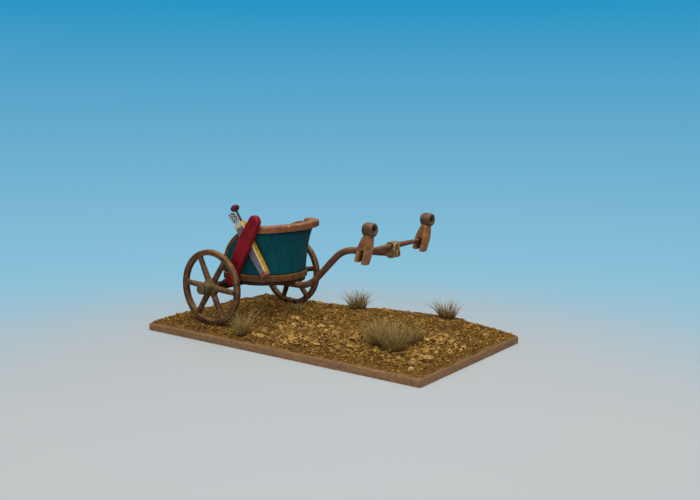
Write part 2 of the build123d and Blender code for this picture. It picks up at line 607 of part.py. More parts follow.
def arrows():
    """Fletched ends of four arrows standing in the quiver's mouth."""
    floor = quiver_length() - QUIVER_MOUTH_DEPTH
    pitch = FLETCHING_WIDTH + 0.05
    bundle = None
    for row in (-0.5, 0.5):
        for column in (0, 1):
            x = -QUIVER_WIDTH / 2 + QUIVER_WALL + pitch * (column + 0.5) + ARROW_SHIFT
            shaft = Pos(0, 0, ARROW_LENGTH / 2) * Cylinder(ARROW_SHAFT_DIAMETER / 2, ARROW_LENGTH)
            vane_z = ARROW_LENGTH - FLETCHING_LENGTH / 2 - 0.2
            for turn in (0, 90):
                shaft += Pos(0, 0, vane_z) * Rot(Z=turn) * Box(
                    FLETCHING_WIDTH, 0.18, FLETCHING_LENGTH)
            shaft = Pos(x, row * pitch, floor + SEAT_GAP) * Rot(Y=-ARROW_LEAN) * shaft
            bundle = shaft if bundle is None else bundle + shaft
    return quiver_plane() * bundle


def knobbed_rod():
    """Rod with a round knob standing in the quiver's mouth beside the arrows."""
    floor = quiver_length() - QUIVER_MOUTH_DEPTH
    x = QUIVER_WIDTH / 2 - QUIVER_WALL - ROD_DIAMETER / 2 - SEAT_GAP
    rod = Pos(x, 0, floor + ROD_LENGTH / 2) * Cylinder(ROD_DIAMETER / 2, ROD_LENGTH)
    ball = scale(Sphere(ROD_KNOB_DIAMETER / 2), by=(1, 1, ROD_KNOB_FLATNESS))
    ball = Pos(x, 0, floor + ROD_LENGTH + ROD_KNOB_DIAMETER * 0.3) * ball
    return quiver_plane() * (rod + ball)


os.makedirs("parts", exist_ok=True)
stone_solids = [stone(*row) for row in STONES]
tuft_solids = [tuft(*row) for row in TUFTS]
pieces = {
    "plinth_plate": plinth_plate(),
    "ground": ground(stone_solids, tuft_solids),
    "stones": Compound(children=stone_solids),
    "grass_tufts": Compound(children=tuft_solids),
    "axle": axle(),
    "floor_frame": floor_frame(),
    "floor_bearer": floor_bearer(),
    "cab_floor": cab_floor(),
    "cab_skin": cab_skin(),
    "top_rail": top_rail(),
    "pole": pole(),
    "yoke": yoke(),
    "pole_lashing": pole_lashing(),
    "bow_case": bow_case(),
    "quiver": quiver(),
    "quiver_tip": quiver_tip(),
    "arrows": arrows(),
    "knobbed_rod": knobbed_rod(),
}
for name, side in SIDES:
    pieces[f"{name}_wheel_rim"] = wheel_rim(side)
    pieces[f"{name}_wheel_spokes"] = wheel_spokes(side)
    pieces[f"{name}_nave"] = nave(side)
    pieces[f"{name}_axle_cap"] = axle_cap(side)
    pieces[f"{name}_side_rail"] = side_rail(side)
    pieces[f"{name}_yoke_saddle"] = yoke_saddle(side)
for node, solid in pieces.items():
    export_step(solid, f"parts/{node}.step")
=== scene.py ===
import bpy
import numpy as np
from mathutils import Matrix, Vector


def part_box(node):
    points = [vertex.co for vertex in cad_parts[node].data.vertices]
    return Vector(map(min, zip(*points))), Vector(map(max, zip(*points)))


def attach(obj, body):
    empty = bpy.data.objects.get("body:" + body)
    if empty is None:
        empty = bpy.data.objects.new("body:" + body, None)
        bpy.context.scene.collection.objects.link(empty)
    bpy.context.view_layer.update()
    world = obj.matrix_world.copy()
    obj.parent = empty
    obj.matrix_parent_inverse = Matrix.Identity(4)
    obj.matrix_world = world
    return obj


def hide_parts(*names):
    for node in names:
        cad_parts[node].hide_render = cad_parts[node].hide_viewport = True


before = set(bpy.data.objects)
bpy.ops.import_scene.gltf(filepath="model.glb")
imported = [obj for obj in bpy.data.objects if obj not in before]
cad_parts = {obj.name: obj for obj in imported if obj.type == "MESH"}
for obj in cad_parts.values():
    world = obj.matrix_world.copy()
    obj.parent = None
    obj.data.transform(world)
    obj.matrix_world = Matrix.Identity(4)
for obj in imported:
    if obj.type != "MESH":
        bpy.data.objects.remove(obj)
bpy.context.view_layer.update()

root_body = "chariot_on_plinth"

# Camera. A short telephoto standing low at the near front quarter, level with the rail,
# with the whole plinth in its frame.
camera_place = (0.14822, -0.19382, 0.06210)
camera_yaw = 36.087
camera_pitch = 8.829
camera_roll = -0.330
focal_share = 906 / 700

camera_data = bpy.data.cameras.new("camera")
camera_data.sensor_width = 36.0
camera_data.sensor_fit = "HORIZONTAL"
camera_data.lens = focal_share * camera_data.sensor_width
camera_data.clip_start = 0.005
camera_data.clip_end = 10.0
camera = bpy.data.objects.new("camera", camera_data)
bpy.context.scene.collection.objects.link(camera)
camera.location = camera_place
upright = Matrix.Rotation(np.radians(90 - camera_pitch), 4, "X")
turned = Matrix.Rotation(np.radians(camera_yaw), 4, "Z")
rolled = Matrix.Rotation(np.radians(-camera_roll), 4, "Z")
camera.rotation_euler = (turned @ upright @ rolled).to_euler()
bpy.context.scene.camera = camera


# Table top and light. A pale matt sweep under and behind the model, one wide soft lamp
# overhead, a second low at the front, and an even pale room around them.
def linear(code):
    """sRGB hex code as linear red, green, blue and alpha."""
    values = np.array([int(code[i:i + 2], 16) for i in (1, 3, 5)]) / 255
    values = np.where(values <= 0.04045, values / 12.92, ((values + 0.055) / 1.055) ** 2.4)
    return (*values, 1.0)


def add(tree, kind, inputs=None, **settings):
    """One node with its settings, and its inputs set to values or linked to sockets."""
    node = tree.nodes.new(kind)
    for name, value in settings.items():
        setattr(node, name, value)
    for name, value in (inputs or {}).items():
        if isinstance(value, bpy.types.NodeSocket):
            tree.links.new(value, node.inputs[name])
        else:
            node.inputs[name].default_value = value
    return node


def new_material(name):
    """Empty node material and the tree that it is built in."""
    material = bpy.data.materials.new(name)
    material.use_nodes = True
    material.node_tree.nodes.clear()
    return material, material.node_tree


def mix_colours(tree, factor, first, second):
    """Colour mix of two colours or sockets by a factor."""
    return add(tree, "ShaderNodeMix", {"Factor": factor, "A": first, "B": second},
               data_type="RGBA").outputs["Result"]


def spread(tree, value, low, high, out_low=0.0, out_high=1.0):
    """Linear map of a value from one range to another, clamped."""
    return add(tree, "ShaderNodeMapRange", {
        "Value": value, "From Min": low, "From Max": high, "To Min": out_low,
        "To Max": out_high}).outputs["Result"]


def math(tree, operation, first, second=0.0):
    """One arithmetic step on two values or sockets."""
    return add(tree, "ShaderNodeMath", {0: first, 1: second}, operation=operation).outputs["Value"]


fade_from, fade_to = 0.032, 0.135
paper, tree = new_material("pale_matt_paper")
place = add(tree, "ShaderNodeTexCoord").outputs["Object"]
away = add(tree, "ShaderNodeVectorMath", {0: place, 1: (0.02, -0.03, 0.0)},
           operation="DISTANCE").outputs["Value"]
gone = add(tree, "ShaderNodeMapRange", {"Value": away, "From Min": fade_from, "From Max": fade_to},
           interpolation_type="SMOOTHSTEP").outputs["Result"]
matt = add(tree, "ShaderNodeBsdfPrincipled", {
    "Base Color": linear("#BEC6CD"), "Roughness": 0.9, "Specular IOR Level": 0.2})
clear = add(tree, "ShaderNodeBsdfTransparent")
faded = add(tree, "ShaderNodeMixShader", {0: gone, 1: matt.outputs["BSDF"],
                                          2: clear.outputs["BSDF"]})
add(tree, "ShaderNodeOutputMaterial", {"Surface": faded.outputs["Shader"]})
floor_mesh = bpy.data.meshes.new("table_top")
reach = 0.6
floor_mesh.from_pydata([(-reach, -reach, 0), (reach, -reach, 0), (reach, reach, 0),
                        (-reach, reach, 0)], [], [(0, 1, 2, 3)])
table_top = bpy.data.objects.new("table_top", floor_mesh)
bpy.context.scene.collection.objects.link(table_top)
floor_mesh.materials.append(paper)

sky_foot, sky_middle, sky_top = -0.31, -0.17, 0.12
room_light = 0.42
world = bpy.data.worlds.new("pale_room")
bpy.context.scene.world = world
world.use_nodes = True
tree = world.node_tree
tree.nodes.clear()
path = add(tree, "ShaderNodeLightPath")
seen = math(tree, "MAXIMUM", path.outputs["Is Camera Ray"], path.outputs["Is Transmission Ray"])
height = add(tree, "ShaderNodeSeparateXYZ", {
    0: add(tree, "ShaderNodeTexCoord").outputs["Generated"]}).outputs["Z"]
sweep = mix_colours(tree, spread(tree, height, sky_foot, sky_middle), linear("#C2C5C6"),
                    linear("#8AC0D8"))
sweep = mix_colours(tree, spread(tree, height, sky_middle, sky_top), sweep, linear("#1E93C3"))
room = mix_colours(tree, seen, linear("#C6CBCF"), sweep)
power = spread(tree, seen, 0.0, 1.0, room_light, 1.0)
lit = add(tree, "ShaderNodeBackground", {"Color": room, "Strength": power})
add(tree, "ShaderNodeOutputWorld", {"Surface": lit.outputs["Background"]})


def soft_lamp(name, place, aim, size, power, colour):
    """Square lamp of a size and power, turned to face a point."""
    data = bpy.data.lights.new(name, "AREA")
    data.size = size
    data.energy = power
    data.color = linear(colour)[:3]
    lamp = bpy.data.objects.new(name, data)
    lamp.location = place
    lamp.rotation_euler = (Vector(aim) - Vector(place)).to_track_quat("-Z", "Y").to_euler()
    bpy.context.scene.collection.objects.link(lamp)


soft_lamp("overhead_lamp", (0.05, -0.02, 0.42), (0, 0, 0.01), size=0.34, power=1.22,
          colour="#FFF8EC")
soft_lamp("front_lamp", (0.30, -0.40, 0.24), (0, 0, 0.02), size=0.25, power=1.30,
          colour="#FFFBF4")

bpy.context.scene.view_settings.view_transform = "Standard"


# Plinth plate. Thin fibreboard, sawn with a bevelled upper edge and brushed with a flat
# brown acrylic that stays a little streaky along the cut edge.
MM = 0.001


def two_tone(tree, value, low, high, dark, light):
    """Colour that passes from dark to light as a value climbs between two levels."""
    return mix_colours(tree, spread(tree, value, low, high), linear(dark), linear(light))


def noise(tree, vector, size, detail=3.0, roughness=0.55):
    """Soft noise of a grain size in millimetres, read at coordinates in metres."""
    return add(tree, "ShaderNodeTexNoise", {
        "Vector": vector, "Scale": 1000.0 / size, "Detail": detail,
        "Roughness": roughness}).outputs["Fac"]


def edge_mask(tree, radius):
    """Where the rounded normal leaves the true one: 1 on edges, 0 on open faces."""
    rounded = add(tree, "ShaderNodeBevel", {"Radius": radius * MM}, samples=6)
    geometry = add(tree, "ShaderNodeNewGeometry")
    dot = add(tree, "ShaderNodeVectorMath", {0: rounded.outputs["Normal"],
                                             1: geometry.outputs["Normal"]},
              operation="DOT_PRODUCT").outputs["Value"]
    return spread(tree, dot, 0.985, 0.80)


def crevices(tree, distance, open_at, closed_at, most):
    """Where other surfaces stand within a distance in millimetres: 0 in the open, rising
    to a share in the recesses, between two values of the ambient occlusion."""
    openness = add(tree, "ShaderNodeAmbientOcclusion", {"Distance": distance * MM},
                   samples=8).outputs["AO"]
    return spread(tree, openness, open_at, closed_at, 0.0, most)


def close_material(tree, coat, roughness, sheen, relief=None):
    """Ends a material with its colour, roughness and sheen, and with fine relief where a
    height, its strength and its depth in millimetres are given."""
    shader = add(tree, "ShaderNodeBsdfPrincipled", {
        "Base Color": coat, "Roughness": roughness, "Specular IOR Level": sheen})
    if relief:
        height, strength, depth = relief
        bump = add(tree, "ShaderNodeBump", {"Height": height, "Strength": strength,
                                            "Distance": depth * MM})
        tree.links.new(bump.outputs["Normal"], shader.inputs["Normal"])
    add(tree, "ShaderNodeOutputMaterial", {"Surface": shader.outputs["BSDF"]})


def brushed_paint(name, base, shade, light, drybrush_and_top_light=0.8, wash_and_shade=0.75, gloss=0.62,
                  streak=(1.0, 1.0, 1.0), sheen=0.25):
    """Matt acrylic: base coat mottled by the brush, a thin dark wash and painted shade that
    darken the recesses, a drybrushed light coat that catches the raised edges, and a
    painted highlight on the faces that look up."""
    material, tree = new_material(name)
    place = add(tree, "ShaderNodeTexCoord").outputs["Object"]
    stretched = add(tree, "ShaderNodeMapping", {"Vector": place, "Scale": streak}).outputs["Vector"]
    mottle = noise(tree, stretched, 1.6, 5.0, 0.65)
    coat = two_tone(tree, mottle, 0.35, 0.68, shade, base)
    # Colour of the wash and of the painted shade in the recesses: the shade colour at a share of its
    # brightness.
    wash_and_shade_tone = 0.22
    dark = tuple(c * wash_and_shade_tone for c in linear(shade)[:3]) + (1.0,)
    coat = mix_colours(tree, crevices(tree, 1.6, 0.95, 0.35, wash_and_shade), coat, dark)
    broken = spread(tree, noise(tree, place, 0.55, 2.0), 0.36, 0.6)
    geometry = add(tree, "ShaderNodeNewGeometry")
    raised = spread(tree, geometry.outputs["Pointiness"], 0.515, 0.57)
    edges = math(tree, "MULTIPLY", math(tree, "MAXIMUM", edge_mask(tree, 0.35), raised), broken)
    # Painted highlight: faces that look up take some of the light coat, as if lit from above; it adds
    # to the drybrush on the edges.
    facing = add(tree, "ShaderNodeSeparateXYZ", {0: geometry.outputs["Normal"]}).outputs["Z"]
    painted_top_light = math(tree, "MULTIPLY", spread(tree, facing, 0.2, 1.0, 0.0, 0.4),
                  spread(tree, mottle, 0.3, 0.6, 0.4, 1.0))
    amount = math(tree, "MULTIPLY", math(tree, "MAXIMUM", edges, painted_top_light), drybrush_and_top_light)
    coat = mix_colours(tree, amount, coat, linear(light))
    close_material(tree, coat, gloss, sheen, (noise(tree, stretched, 0.35, 3.0), 0.35, 0.03))
    return material


def coat_node(name, material):
    """Gives a kept piece its finish."""
    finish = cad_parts[name].data.materials
    finish.clear()
    finish.append(material)


board_paint = brushed_paint("brown_acrylic_on_fibreboard", "#866445", "#705138", "#A5835A",
                            drybrush_and_top_light=0.35, wash_and_shade=0.3, streak=(0.35, 0.35, 1.0))
coat_node("plinth_plate", board_paint)


# Ground. Filler spread over the board and dressed with sand and grit, with low mounds and
# a rut pressed under each wheel; ochre paint, a brown wash with painted shade darkening
# the hollows, and pale drybrushed tips.
def in_mm(box):
    """Low and high corners of a box in millimetres."""
    return [np.array(corner) / MM for corner in box]


plate_high = in_mm(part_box("plinth_plate"))[1]
ground_low, ground_high = in_mm(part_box("ground"))
plate_top = plate_high[2]
rims = ("near_wheel_rim", "far_wheel_rim")
usual_depth = 0.95
least_film, usual_film = 0.03, 0.08
bare_edge, edge_slope, edge_share = 0.5, 2.0, 0.15
rut_clearance, rut_side = 0.12, 0.35
# Depths of the filler, as in the kept solid: each row runs from the rear to the front,
# and the rows go from the near edge to the far edge.
heights = usual_depth * np.array([
    (0.3, 0.5, 0.4, 0.3, 0.4, 0.7, 0.5, 0.7, 0.5, 0.6, 0.5, 0.4, 0.3),
    (0.9, 1.5, 0.9, 0.9, 1.1, 1.7, 1.3, 1.8, 1.3, 1.7, 1.2, 1.1, 0.7),
    (0.8, 1.2, 1.4, 1.4, 2.1, 1.9, 1.8, 2.3, 1.7, 2.0, 1.6, 1.4, 0.9),
    (0.9, 1.4, 1.6, 1.8, 2.6, 2.3, 1.8, 2.2, 2.0, 2.4, 2.2, 1.4, 0.8),
    (1.1, 1.6, 1.3, 1.2, 1.9, 2.3, 2.3, 2.7, 2.6, 2.9, 2.4, 1.8, 0.9),
    (0.6, 0.9, 1.0, 1.0, 1.3, 1.7, 2.5, 3.0, 3.2, 3.4, 3.1, 2.0, 0.8),
    (0.3, 0.3, 0.4, 0.4, 0.6, 1.1, 1.6, 2.0, 2.3, 2.4, 2.2, 1.2, 0.4),
])


def lattice_noise(x, y, cell, seed):
    """Random heights from -1 to 1: seeded values on a square lattice of a cell size,
    blended between lattice points by the smoothstep of the distance along X and Y."""
    points, origin = 512, 200
    values = np.random.default_rng(seed).uniform(-1, 1, (points, points))
    u, v = x / cell + origin, y / cell + origin
    i, j = np.floor(u).astype(int), np.floor(v).astype(int)
    s, t = u - i, v - j
    s, t = s * s * (3 - 2 * s), t * t * (3 - 2 * t)
    i, j = i % (points - 1), j % (points - 1)
    low = values[i, j] * (1 - s) + values[i + 1, j] * s
    high = values[i, j + 1] * (1 - s) + values[i + 1, j + 1] * s
    return low * (1 - t) + high * t


def ground_height(x, y):
    """Height of the dressed ground in millimetres: the plate's top, the filler's height
    blended between the points of its table, four grades of lumps, thinned at the plate's
    edge and cut by the ruts, which stay just outside each wheel's circle."""
    rows, columns = heights.shape
    u = np.clip((x - ground_low[0]) / (ground_high[0] - ground_low[0]), 0, 1) * (columns - 1)
    v = np.clip((y - ground_low[1]) / (ground_high[1] - ground_low[1]), 0, 1) * (rows - 1)
    i = np.minimum(u.astype(int), columns - 2)
    j = np.minimum(v.astype(int), rows - 2)
    s, t = u - i, v - j
    near = heights[j, i] * (1 - s) + heights[j, i + 1] * s
    far = heights[j + 1, i] * (1 - s) + heights[j + 1, i + 1] * s
    base = near * (1 - t) + far * t
    lumps = 0.20 * lattice_noise(x, y, 3.1, 11) + 0.26 * np.abs(lattice_noise(x, y, 1.7, 12))
    lumps += 0.22 * np.abs(lattice_noise(x, y, 0.8, 13)) + 0.08 * lattice_noise(x, y, 0.4, 14)
    margin = np.minimum(plate_high[0] - np.abs(x), plate_high[1] - np.abs(y))
    margin = margin + 0.35 * lattice_noise(x, y, 1.3, 15)
    thin = np.clip((margin - bare_edge) / edge_slope, 0, 1)
    thin = thin * (2 - thin)
    lump_sink = 0.15
    share = edge_share + (1 - edge_share) * thin
    z = plate_top + usual_film + (base - lump_sink + lumps) * share
    for name in rims:
        low, high = in_mm(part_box(name))
        middle = (low + high) / 2
        radius = (high[2] - low[2]) / 2 + rut_clearance
        beside = np.abs(y - middle[1]) - (high[1] - low[1]) / 2
        run = np.clip(radius ** 2 - (x - middle[0]) ** 2, 0, None)
        floor = middle[2] - np.sqrt(run)
        inside = (run > 0) & (beside < rut_side)
        z = np.where(inside, np.minimum(z, floor), z)
    return np.maximum(z, plate_top + least_film)


def new_piece(name, points, faces, material, slot, body=root_body, smooth=True):
    """Mesh piece from an array of points in millimetres and an array of faces, which all
    have the same number of corners; it rides on a body."""
    mesh = bpy.data.meshes.new(name)
    points = np.asarray(points, np.float32).reshape(-1, 3) * MM
    faces = np.asarray(faces, np.int32)
    corners = faces.shape[1]
    mesh.vertices.add(len(points))
    mesh.vertices.foreach_set("co", points.ravel())
    mesh.loops.add(faces.size)
    mesh.loops.foreach_set("vertex_index", faces.ravel())
    mesh.polygons.add(len(faces))
    mesh.polygons.foreach_set("loop_start", np.arange(0, faces.size, corners, dtype=np.int32))
    mesh.polygons.foreach_set("loop_total", np.full(len(faces), corners, np.int32))
    mesh.polygons.foreach_set("use_smooth", np.full(len(faces), smooth))
    mesh.update(calc_edges=True)
    mesh.validate()
    mesh.materials.append(material)
    piece = bpy.data.objects.new(name, mesh)
    bpy.context.scene.collection.objects.link(piece)
    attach(piece, body)
    return piece


def grid_faces(rows, columns, wrap_rows=False, wrap_columns=False, start=0):
    """Quads of a grid of points stored row by row, closed on itself where asked."""
    i = np.arange(rows if wrap_rows else rows - 1)[:, None]
    j = np.arange(columns if wrap_columns else columns - 1)[None, :]
    i2, j2 = (i + 1) % rows, (j + 1) % columns
    quads = np.stack([i * columns + j, i * columns + j2, i2 * columns + j2, i2 * columns + j], -1)
    return quads.reshape(-1, 4) + start


def halved(quads):
    """Two triangles from each quad."""
    return np.concatenate([quads[:, [0, 1, 2]], quads[:, [0, 2, 3]]])


def ground_material():
    """Painted sand: ochre over dark brown, in patches, with pale tips on the grains and painted
    shade in the hollows.
    """
    material, tree = new_material("painted_sand_and_filler")
    place = add(tree, "ShaderNodeTexCoord").outputs["Object"]
    grains = noise(tree, place, 0.7, 4.0, 0.7)
    coat = two_tone(tree, noise(tree, place, 7.0, 4.0), 0.36, 0.64, "#6E4A15", "#966A22")
    speckle = spread(tree, grains, 0.42, 0.66)
    coat = mix_colours(tree, speckle, mix_colours(tree, 0.7, coat, linear("#3A2812")), coat)
    rust = spread(tree, noise(tree, place, 3.2, 3.0), 0.56, 0.72, 0.0, 0.55)
    coat = mix_colours(tree, rust, coat, linear("#70431F"))
    # Painted shade: dark brown where other surfaces stand near, in the hollows of the ground.
    coat = mix_colours(tree, crevices(tree, 1.1, 0.8, 0.25, 0.85), coat, linear("#2E1D0C"))
    tips = add(tree, "ShaderNodeNewGeometry").outputs["Pointiness"]
    pale = math(tree, "MULTIPLY", spread(tree, tips, 0.52, 0.62),
                spread(tree, noise(tree, place, 1.5, 2.0), 0.38, 0.6))
    coat = mix_colours(tree, pale, coat, linear("#BC9650"))
    close_material(tree, coat, 0.85, 0.25, (grains, 0.8, 0.16))
    return material


sand_paint = ground_material()
columns, rows = 400, 220
x = np.linspace(ground_low[0], ground_high[0], columns)
y = np.linspace(ground_low[1], ground_high[1], rows)
x, y = np.meshgrid(x, y)
top = np.stack([x, y, ground_height(x, y)], -1).reshape(-1, 3)
border = np.concatenate([
    np.arange(columns), np.arange(1, rows) * columns + columns - 1,
    (rows - 1) * columns + np.arange(columns - 2, -1, -1), np.arange(rows - 2, 0, -1) * columns])
foot = top[border].copy()
foot[:, 2] = plate_top
middle = np.array([[0, 0, plate_top]])
count = len(border)
ring = len(top) + np.arange(count)
following = np.roll(np.arange(count), -1)
walls = np.stack([border, ring, ring[following], border[following]], -1)
sole = np.stack([ring, np.full(count, len(top) + count), ring[following]], -1)
quads = np.concatenate([grid_faces(rows, columns), walls])
ground = new_piece("dressed_ground", np.concatenate([top, foot, middle]),
                   np.concatenate([halved(quads), sole]), sand_paint, "ground")
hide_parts("ground")


# Grit. Coarse sand and small chippings glued over the filler, thickest in drifts; their
# upper faces pale from drybrush and a painted highlight, and painted shade between them.
def grit_material(name, base, dark, pale):
    """Painted chippings: each a little lighter or darker, pale on the faces that look up from
    drybrush and a painted highlight, with painted shade where other surfaces stand near.
    """
    material, tree = new_material(name)
    place = add(tree, "ShaderNodeTexCoord").outputs["Object"]
    geometry = add(tree, "ShaderNodeNewGeometry")
    each = geometry.outputs["Random Per Island"]
    patch = spread(tree, noise(tree, place, 5.0, 3.0), 0.4, 0.62, 0.45, 1.0)
    tone = math(tree, "MULTIPLY", each, patch)
    coat = mix_colours(tree, tone, linear(dark), linear(base))
    # Painted highlight with the drybrush: the faces that look up take the pale colour.
    up = add(tree, "ShaderNodeSeparateXYZ", {0: geometry.outputs["Normal"]}).outputs["Z"]
    broken = spread(tree, noise(tree, place, 0.5, 3.0, 0.7), 0.4, 0.62)
    amount = math(tree, "MULTIPLY", spread(tree, up, -0.1, 0.85), broken)
    coat = mix_colours(tree, math(tree, "MULTIPLY", amount, spread(tree, each, 0.1, 0.9, 0.3, 1.0)),
                       coat, linear(pale))
    # Painted shade: dark brown where other surfaces stand near.
    coat = mix_colours(tree, crevices(tree, 1.1, 0.75, 0.2, 0.8), coat, linear("#2E1D0C"))
    close_material(tree, coat, 0.85, 0.25, (noise(tree, place, 0.3, 4.0, 0.7), 0.6, 0.08))
    return material


def icosahedron():
    """Corners and outward faces of the regular solid of twenty triangles, radius 1."""
    golden = (1 + 5 ** 0.5) / 2
    corners = np.array([(-1, golden, 0), (1, golden, 0), (-1, -golden, 0), (1, -golden, 0),
                        (0, -1, golden), (0, 1, golden), (0, -1, -golden), (0, 1, -golden),
                        (golden, 0, -1), (golden, 0, 1), (-golden, 0, -1), (-golden, 0, 1)])
    faces = np.array([(0, 11, 5), (0, 5, 1), (0, 1, 7), (0, 7, 10), (0, 10, 11), (1, 5, 9),
                      (5, 11, 4), (11, 10, 2), (10, 7, 6), (7, 1, 8), (3, 9, 4), (3, 4, 2),
                      (3, 2, 6), (3, 6, 8), (3, 8, 9), (4, 9, 5), (2, 4, 11), (6, 2, 10),
                      (8, 6, 7), (9, 8, 1)])
    return corners / np.linalg.norm(corners[0]), faces


def octahedron():
    """Corners and outward faces of the regular solid of eight triangles, radius 1."""
    corners = np.array([(1, 0, 0), (-1, 0, 0), (0, 1, 0), (0, -1, 0), (0, 0, 1), (0, 0, -1)])
    faces = np.array([(0, 2, 4), (2, 1, 4), (1, 3, 4), (3, 0, 4), (2, 0, 5), (1, 2, 5),
                      (3, 1, 5), (0, 3, 5)])
    return corners, faces


def random_turns(count, rng):
    """Evenly spread random rotation matrices, from unit quaternions."""
    q = rng.normal(size=(count, 4))
    a, b, c, d = (q / np.linalg.norm(q, axis=1, keepdims=True)).T
    return np.stack([
        np.stack([1 - 2 * (c * c + d * d), 2 * (b * c - a * d), 2 * (b * d + a * c)], -1),
        np.stack([2 * (b * c + a * d), 1 - 2 * (b * b + d * d), 2 * (c * d - a * b)], -1),
        np.stack([2 * (b * d - a * c), 2 * (c * d + a * b), 1 - 2 * (b * b + c * c)], -1)], -2)


def clear_of_wheels(x, y, size):
    """Whether a chipping of a size lies outside both ruts; under the first and last
    millimetres of a wheel the rim is too high to touch it."""
    aside, rim_rise = 0.25, 2.0
    clear = np.ones(len(x), bool)
    for name in rims:
        low, high = in_mm(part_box(name))
        beside = (y > low[1] - size - aside) & (y < high[1] + size + aside)
        along = (x > low[0] + rim_rise) & (x < high[0] - rim_rise)
        clear &= ~(beside & along)
    return clear


def scatter_chips(name, x, y, size, sunk, seed, material, slot, roughen, solid):
    """One mesh of many angular chips: a regular solid for each place, its corners
    pushed in and out at random, stretched, turned and half sunk into the ground."""
    rng = np.random.default_rng(seed)
    flatness = 0.8
    inside = (np.abs(x) < ground_high[0] - 0.3 * size) & (np.abs(y) < ground_high[1] - 0.3 * size)
    keep = inside & clear_of_wheels(x, y, size)
    x, y, size = x[keep], y[keep], size[keep]
    corners, faces = solid
    count = len(x)
    radius = 1 + roughen * rng.uniform(-1, 1, (count, len(corners), 1))
    stretch = rng.uniform(0.65, 1.1, (count, 1, 3))
    points = corners[None] * radius * stretch * (size[:, None, None] / 2)
    points = np.einsum("nij,nkj->nki", random_turns(count, rng), points)
    points[:, :, 2] *= flatness
    z = ground_height(x, y) + size * (0.5 - sunk) * 0.5
    points += np.stack([x, y, z], -1)[:, None, :]
    points[:, :, 2] = np.maximum(points[:, :, 2], plate_top + 0.02)
    faces = (faces[None] + len(corners) * np.arange(count)[:, None, None]).reshape(-1, 3)
    return new_piece(name, points.reshape(-1, 3), faces, material, slot, smooth=False)


grit_paint = grit_material("painted_grit", "#895F20", "#3C260B", "#D6AA4E")
rng = np.random.default_rng(20)
count = 19000
x = rng.uniform(ground_low[0], ground_high[0], count)
y = rng.uniform(ground_low[1], ground_high[1], count)
size = rng.uniform(0.35, 0.72, count)
scatter_chips("fine_sand", x, y, size, 0.3, 24, grit_paint, "ground", 0.3, octahedron())
rng = np.random.default_rng(21)
count = 6500
x = rng.uniform(ground_low[0], ground_high[0], count)
y = rng.uniform(ground_low[1], ground_high[1], count)
drift = lattice_noise(x, y, 6.0, 22) + rng.uniform(-0.7, 0.9, count)
x, y = x[drift > 0], y[drift > 0]
size = rng.uniform(0.5, 1.1, len(x)) ** 1.3
scatter_chips("sand_and_grit", x, y, size, 0.35, 23, grit_paint, "ground", 0.25, icosahedron())


# Clods and stones. Broken cork and slate chips bedded in the filler, one large pale stone
# near the front corner, and drifts of clods along the near side and behind that stone.
stone_paint = grit_material("painted_stone_chips", "#946A2E", "#4E3312", "#DCB262")
# X, Y and size of each stone.
stones = np.array([
    (40.8, -14.9, 3.6), (-6.0, -21.2, 1.8), (11.0, -19.8, 2.2), (15.6, -13.8, 2.0),
    (-7.6, -4.3, 2.8), (3.1, -22.4, 1.5), (17.6, -21.9, 1.7), (40.6, -22.0, 2.0),
    (35.3, 0.1, 2.6), (40.5, 14.7, 1.8), (35.3, 13.0, 1.8), (-12.0, 19.0, 1.8),
    (12.5, 20.8, 2.0), (-40.0, -12.0, 2.0),
])
# Paint of the large stones: pale on the faces that look up from drybrush and a painted highlight, with
# painted shade where other surfaces stand near.
pale_paint = grit_material("pale_stone_drybrush_and_top_light", "#A47E3C", "#725224", "#E0BE74")
large = scatter_chips("stones", *stones.T, 0.15, 31, pale_paint, "stone", 0.16, icosahedron())
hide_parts("stones")
rng = np.random.default_rng(32)
# Rear, front, near and far edge of each drift, and how many clods it has.
drifts = ((-10, 22, -22, -4, 300), (26, 42, -20, 6, 110), (-42, 42, -22, 22, 150))
x = np.concatenate([rng.uniform(rear, front, many) for rear, front, _, _, many in drifts])
y = np.concatenate([rng.uniform(near, far, many) for _, _, near, far, many in drifts])
size = 1.0 + 1.7 * rng.uniform(0, 1, len(x)) ** 1.5
scatter_chips("clods", x, y, size, 0.4, 33, stone_paint, "stone", 0.3, icosahedron())


# Grass tufts. Bunches of straw and olive static-grass fibres, a few millimetres tall,
# glued upright and fanned out from a dot of adhesive.
def grass_material():
    """Nylon fibre, each blade its own tone from olive to straw, darker brown towards the foot."""
    material, tree = new_material("static_grass_fibre")
    each = add(tree, "ShaderNodeNewGeometry").outputs["Random Per Island"]
    length = add(tree, "ShaderNodeAttribute", attribute_name="along").outputs["Fac"]
    straw = mix_colours(tree, each, linear("#75592A"), linear("#C9B06C"))
    coat = mix_colours(tree, spread(tree, length, 0.05, 0.75), linear("#4A3516"), straw)
    close_material(tree, coat, 0.55, 0.4)
    return material


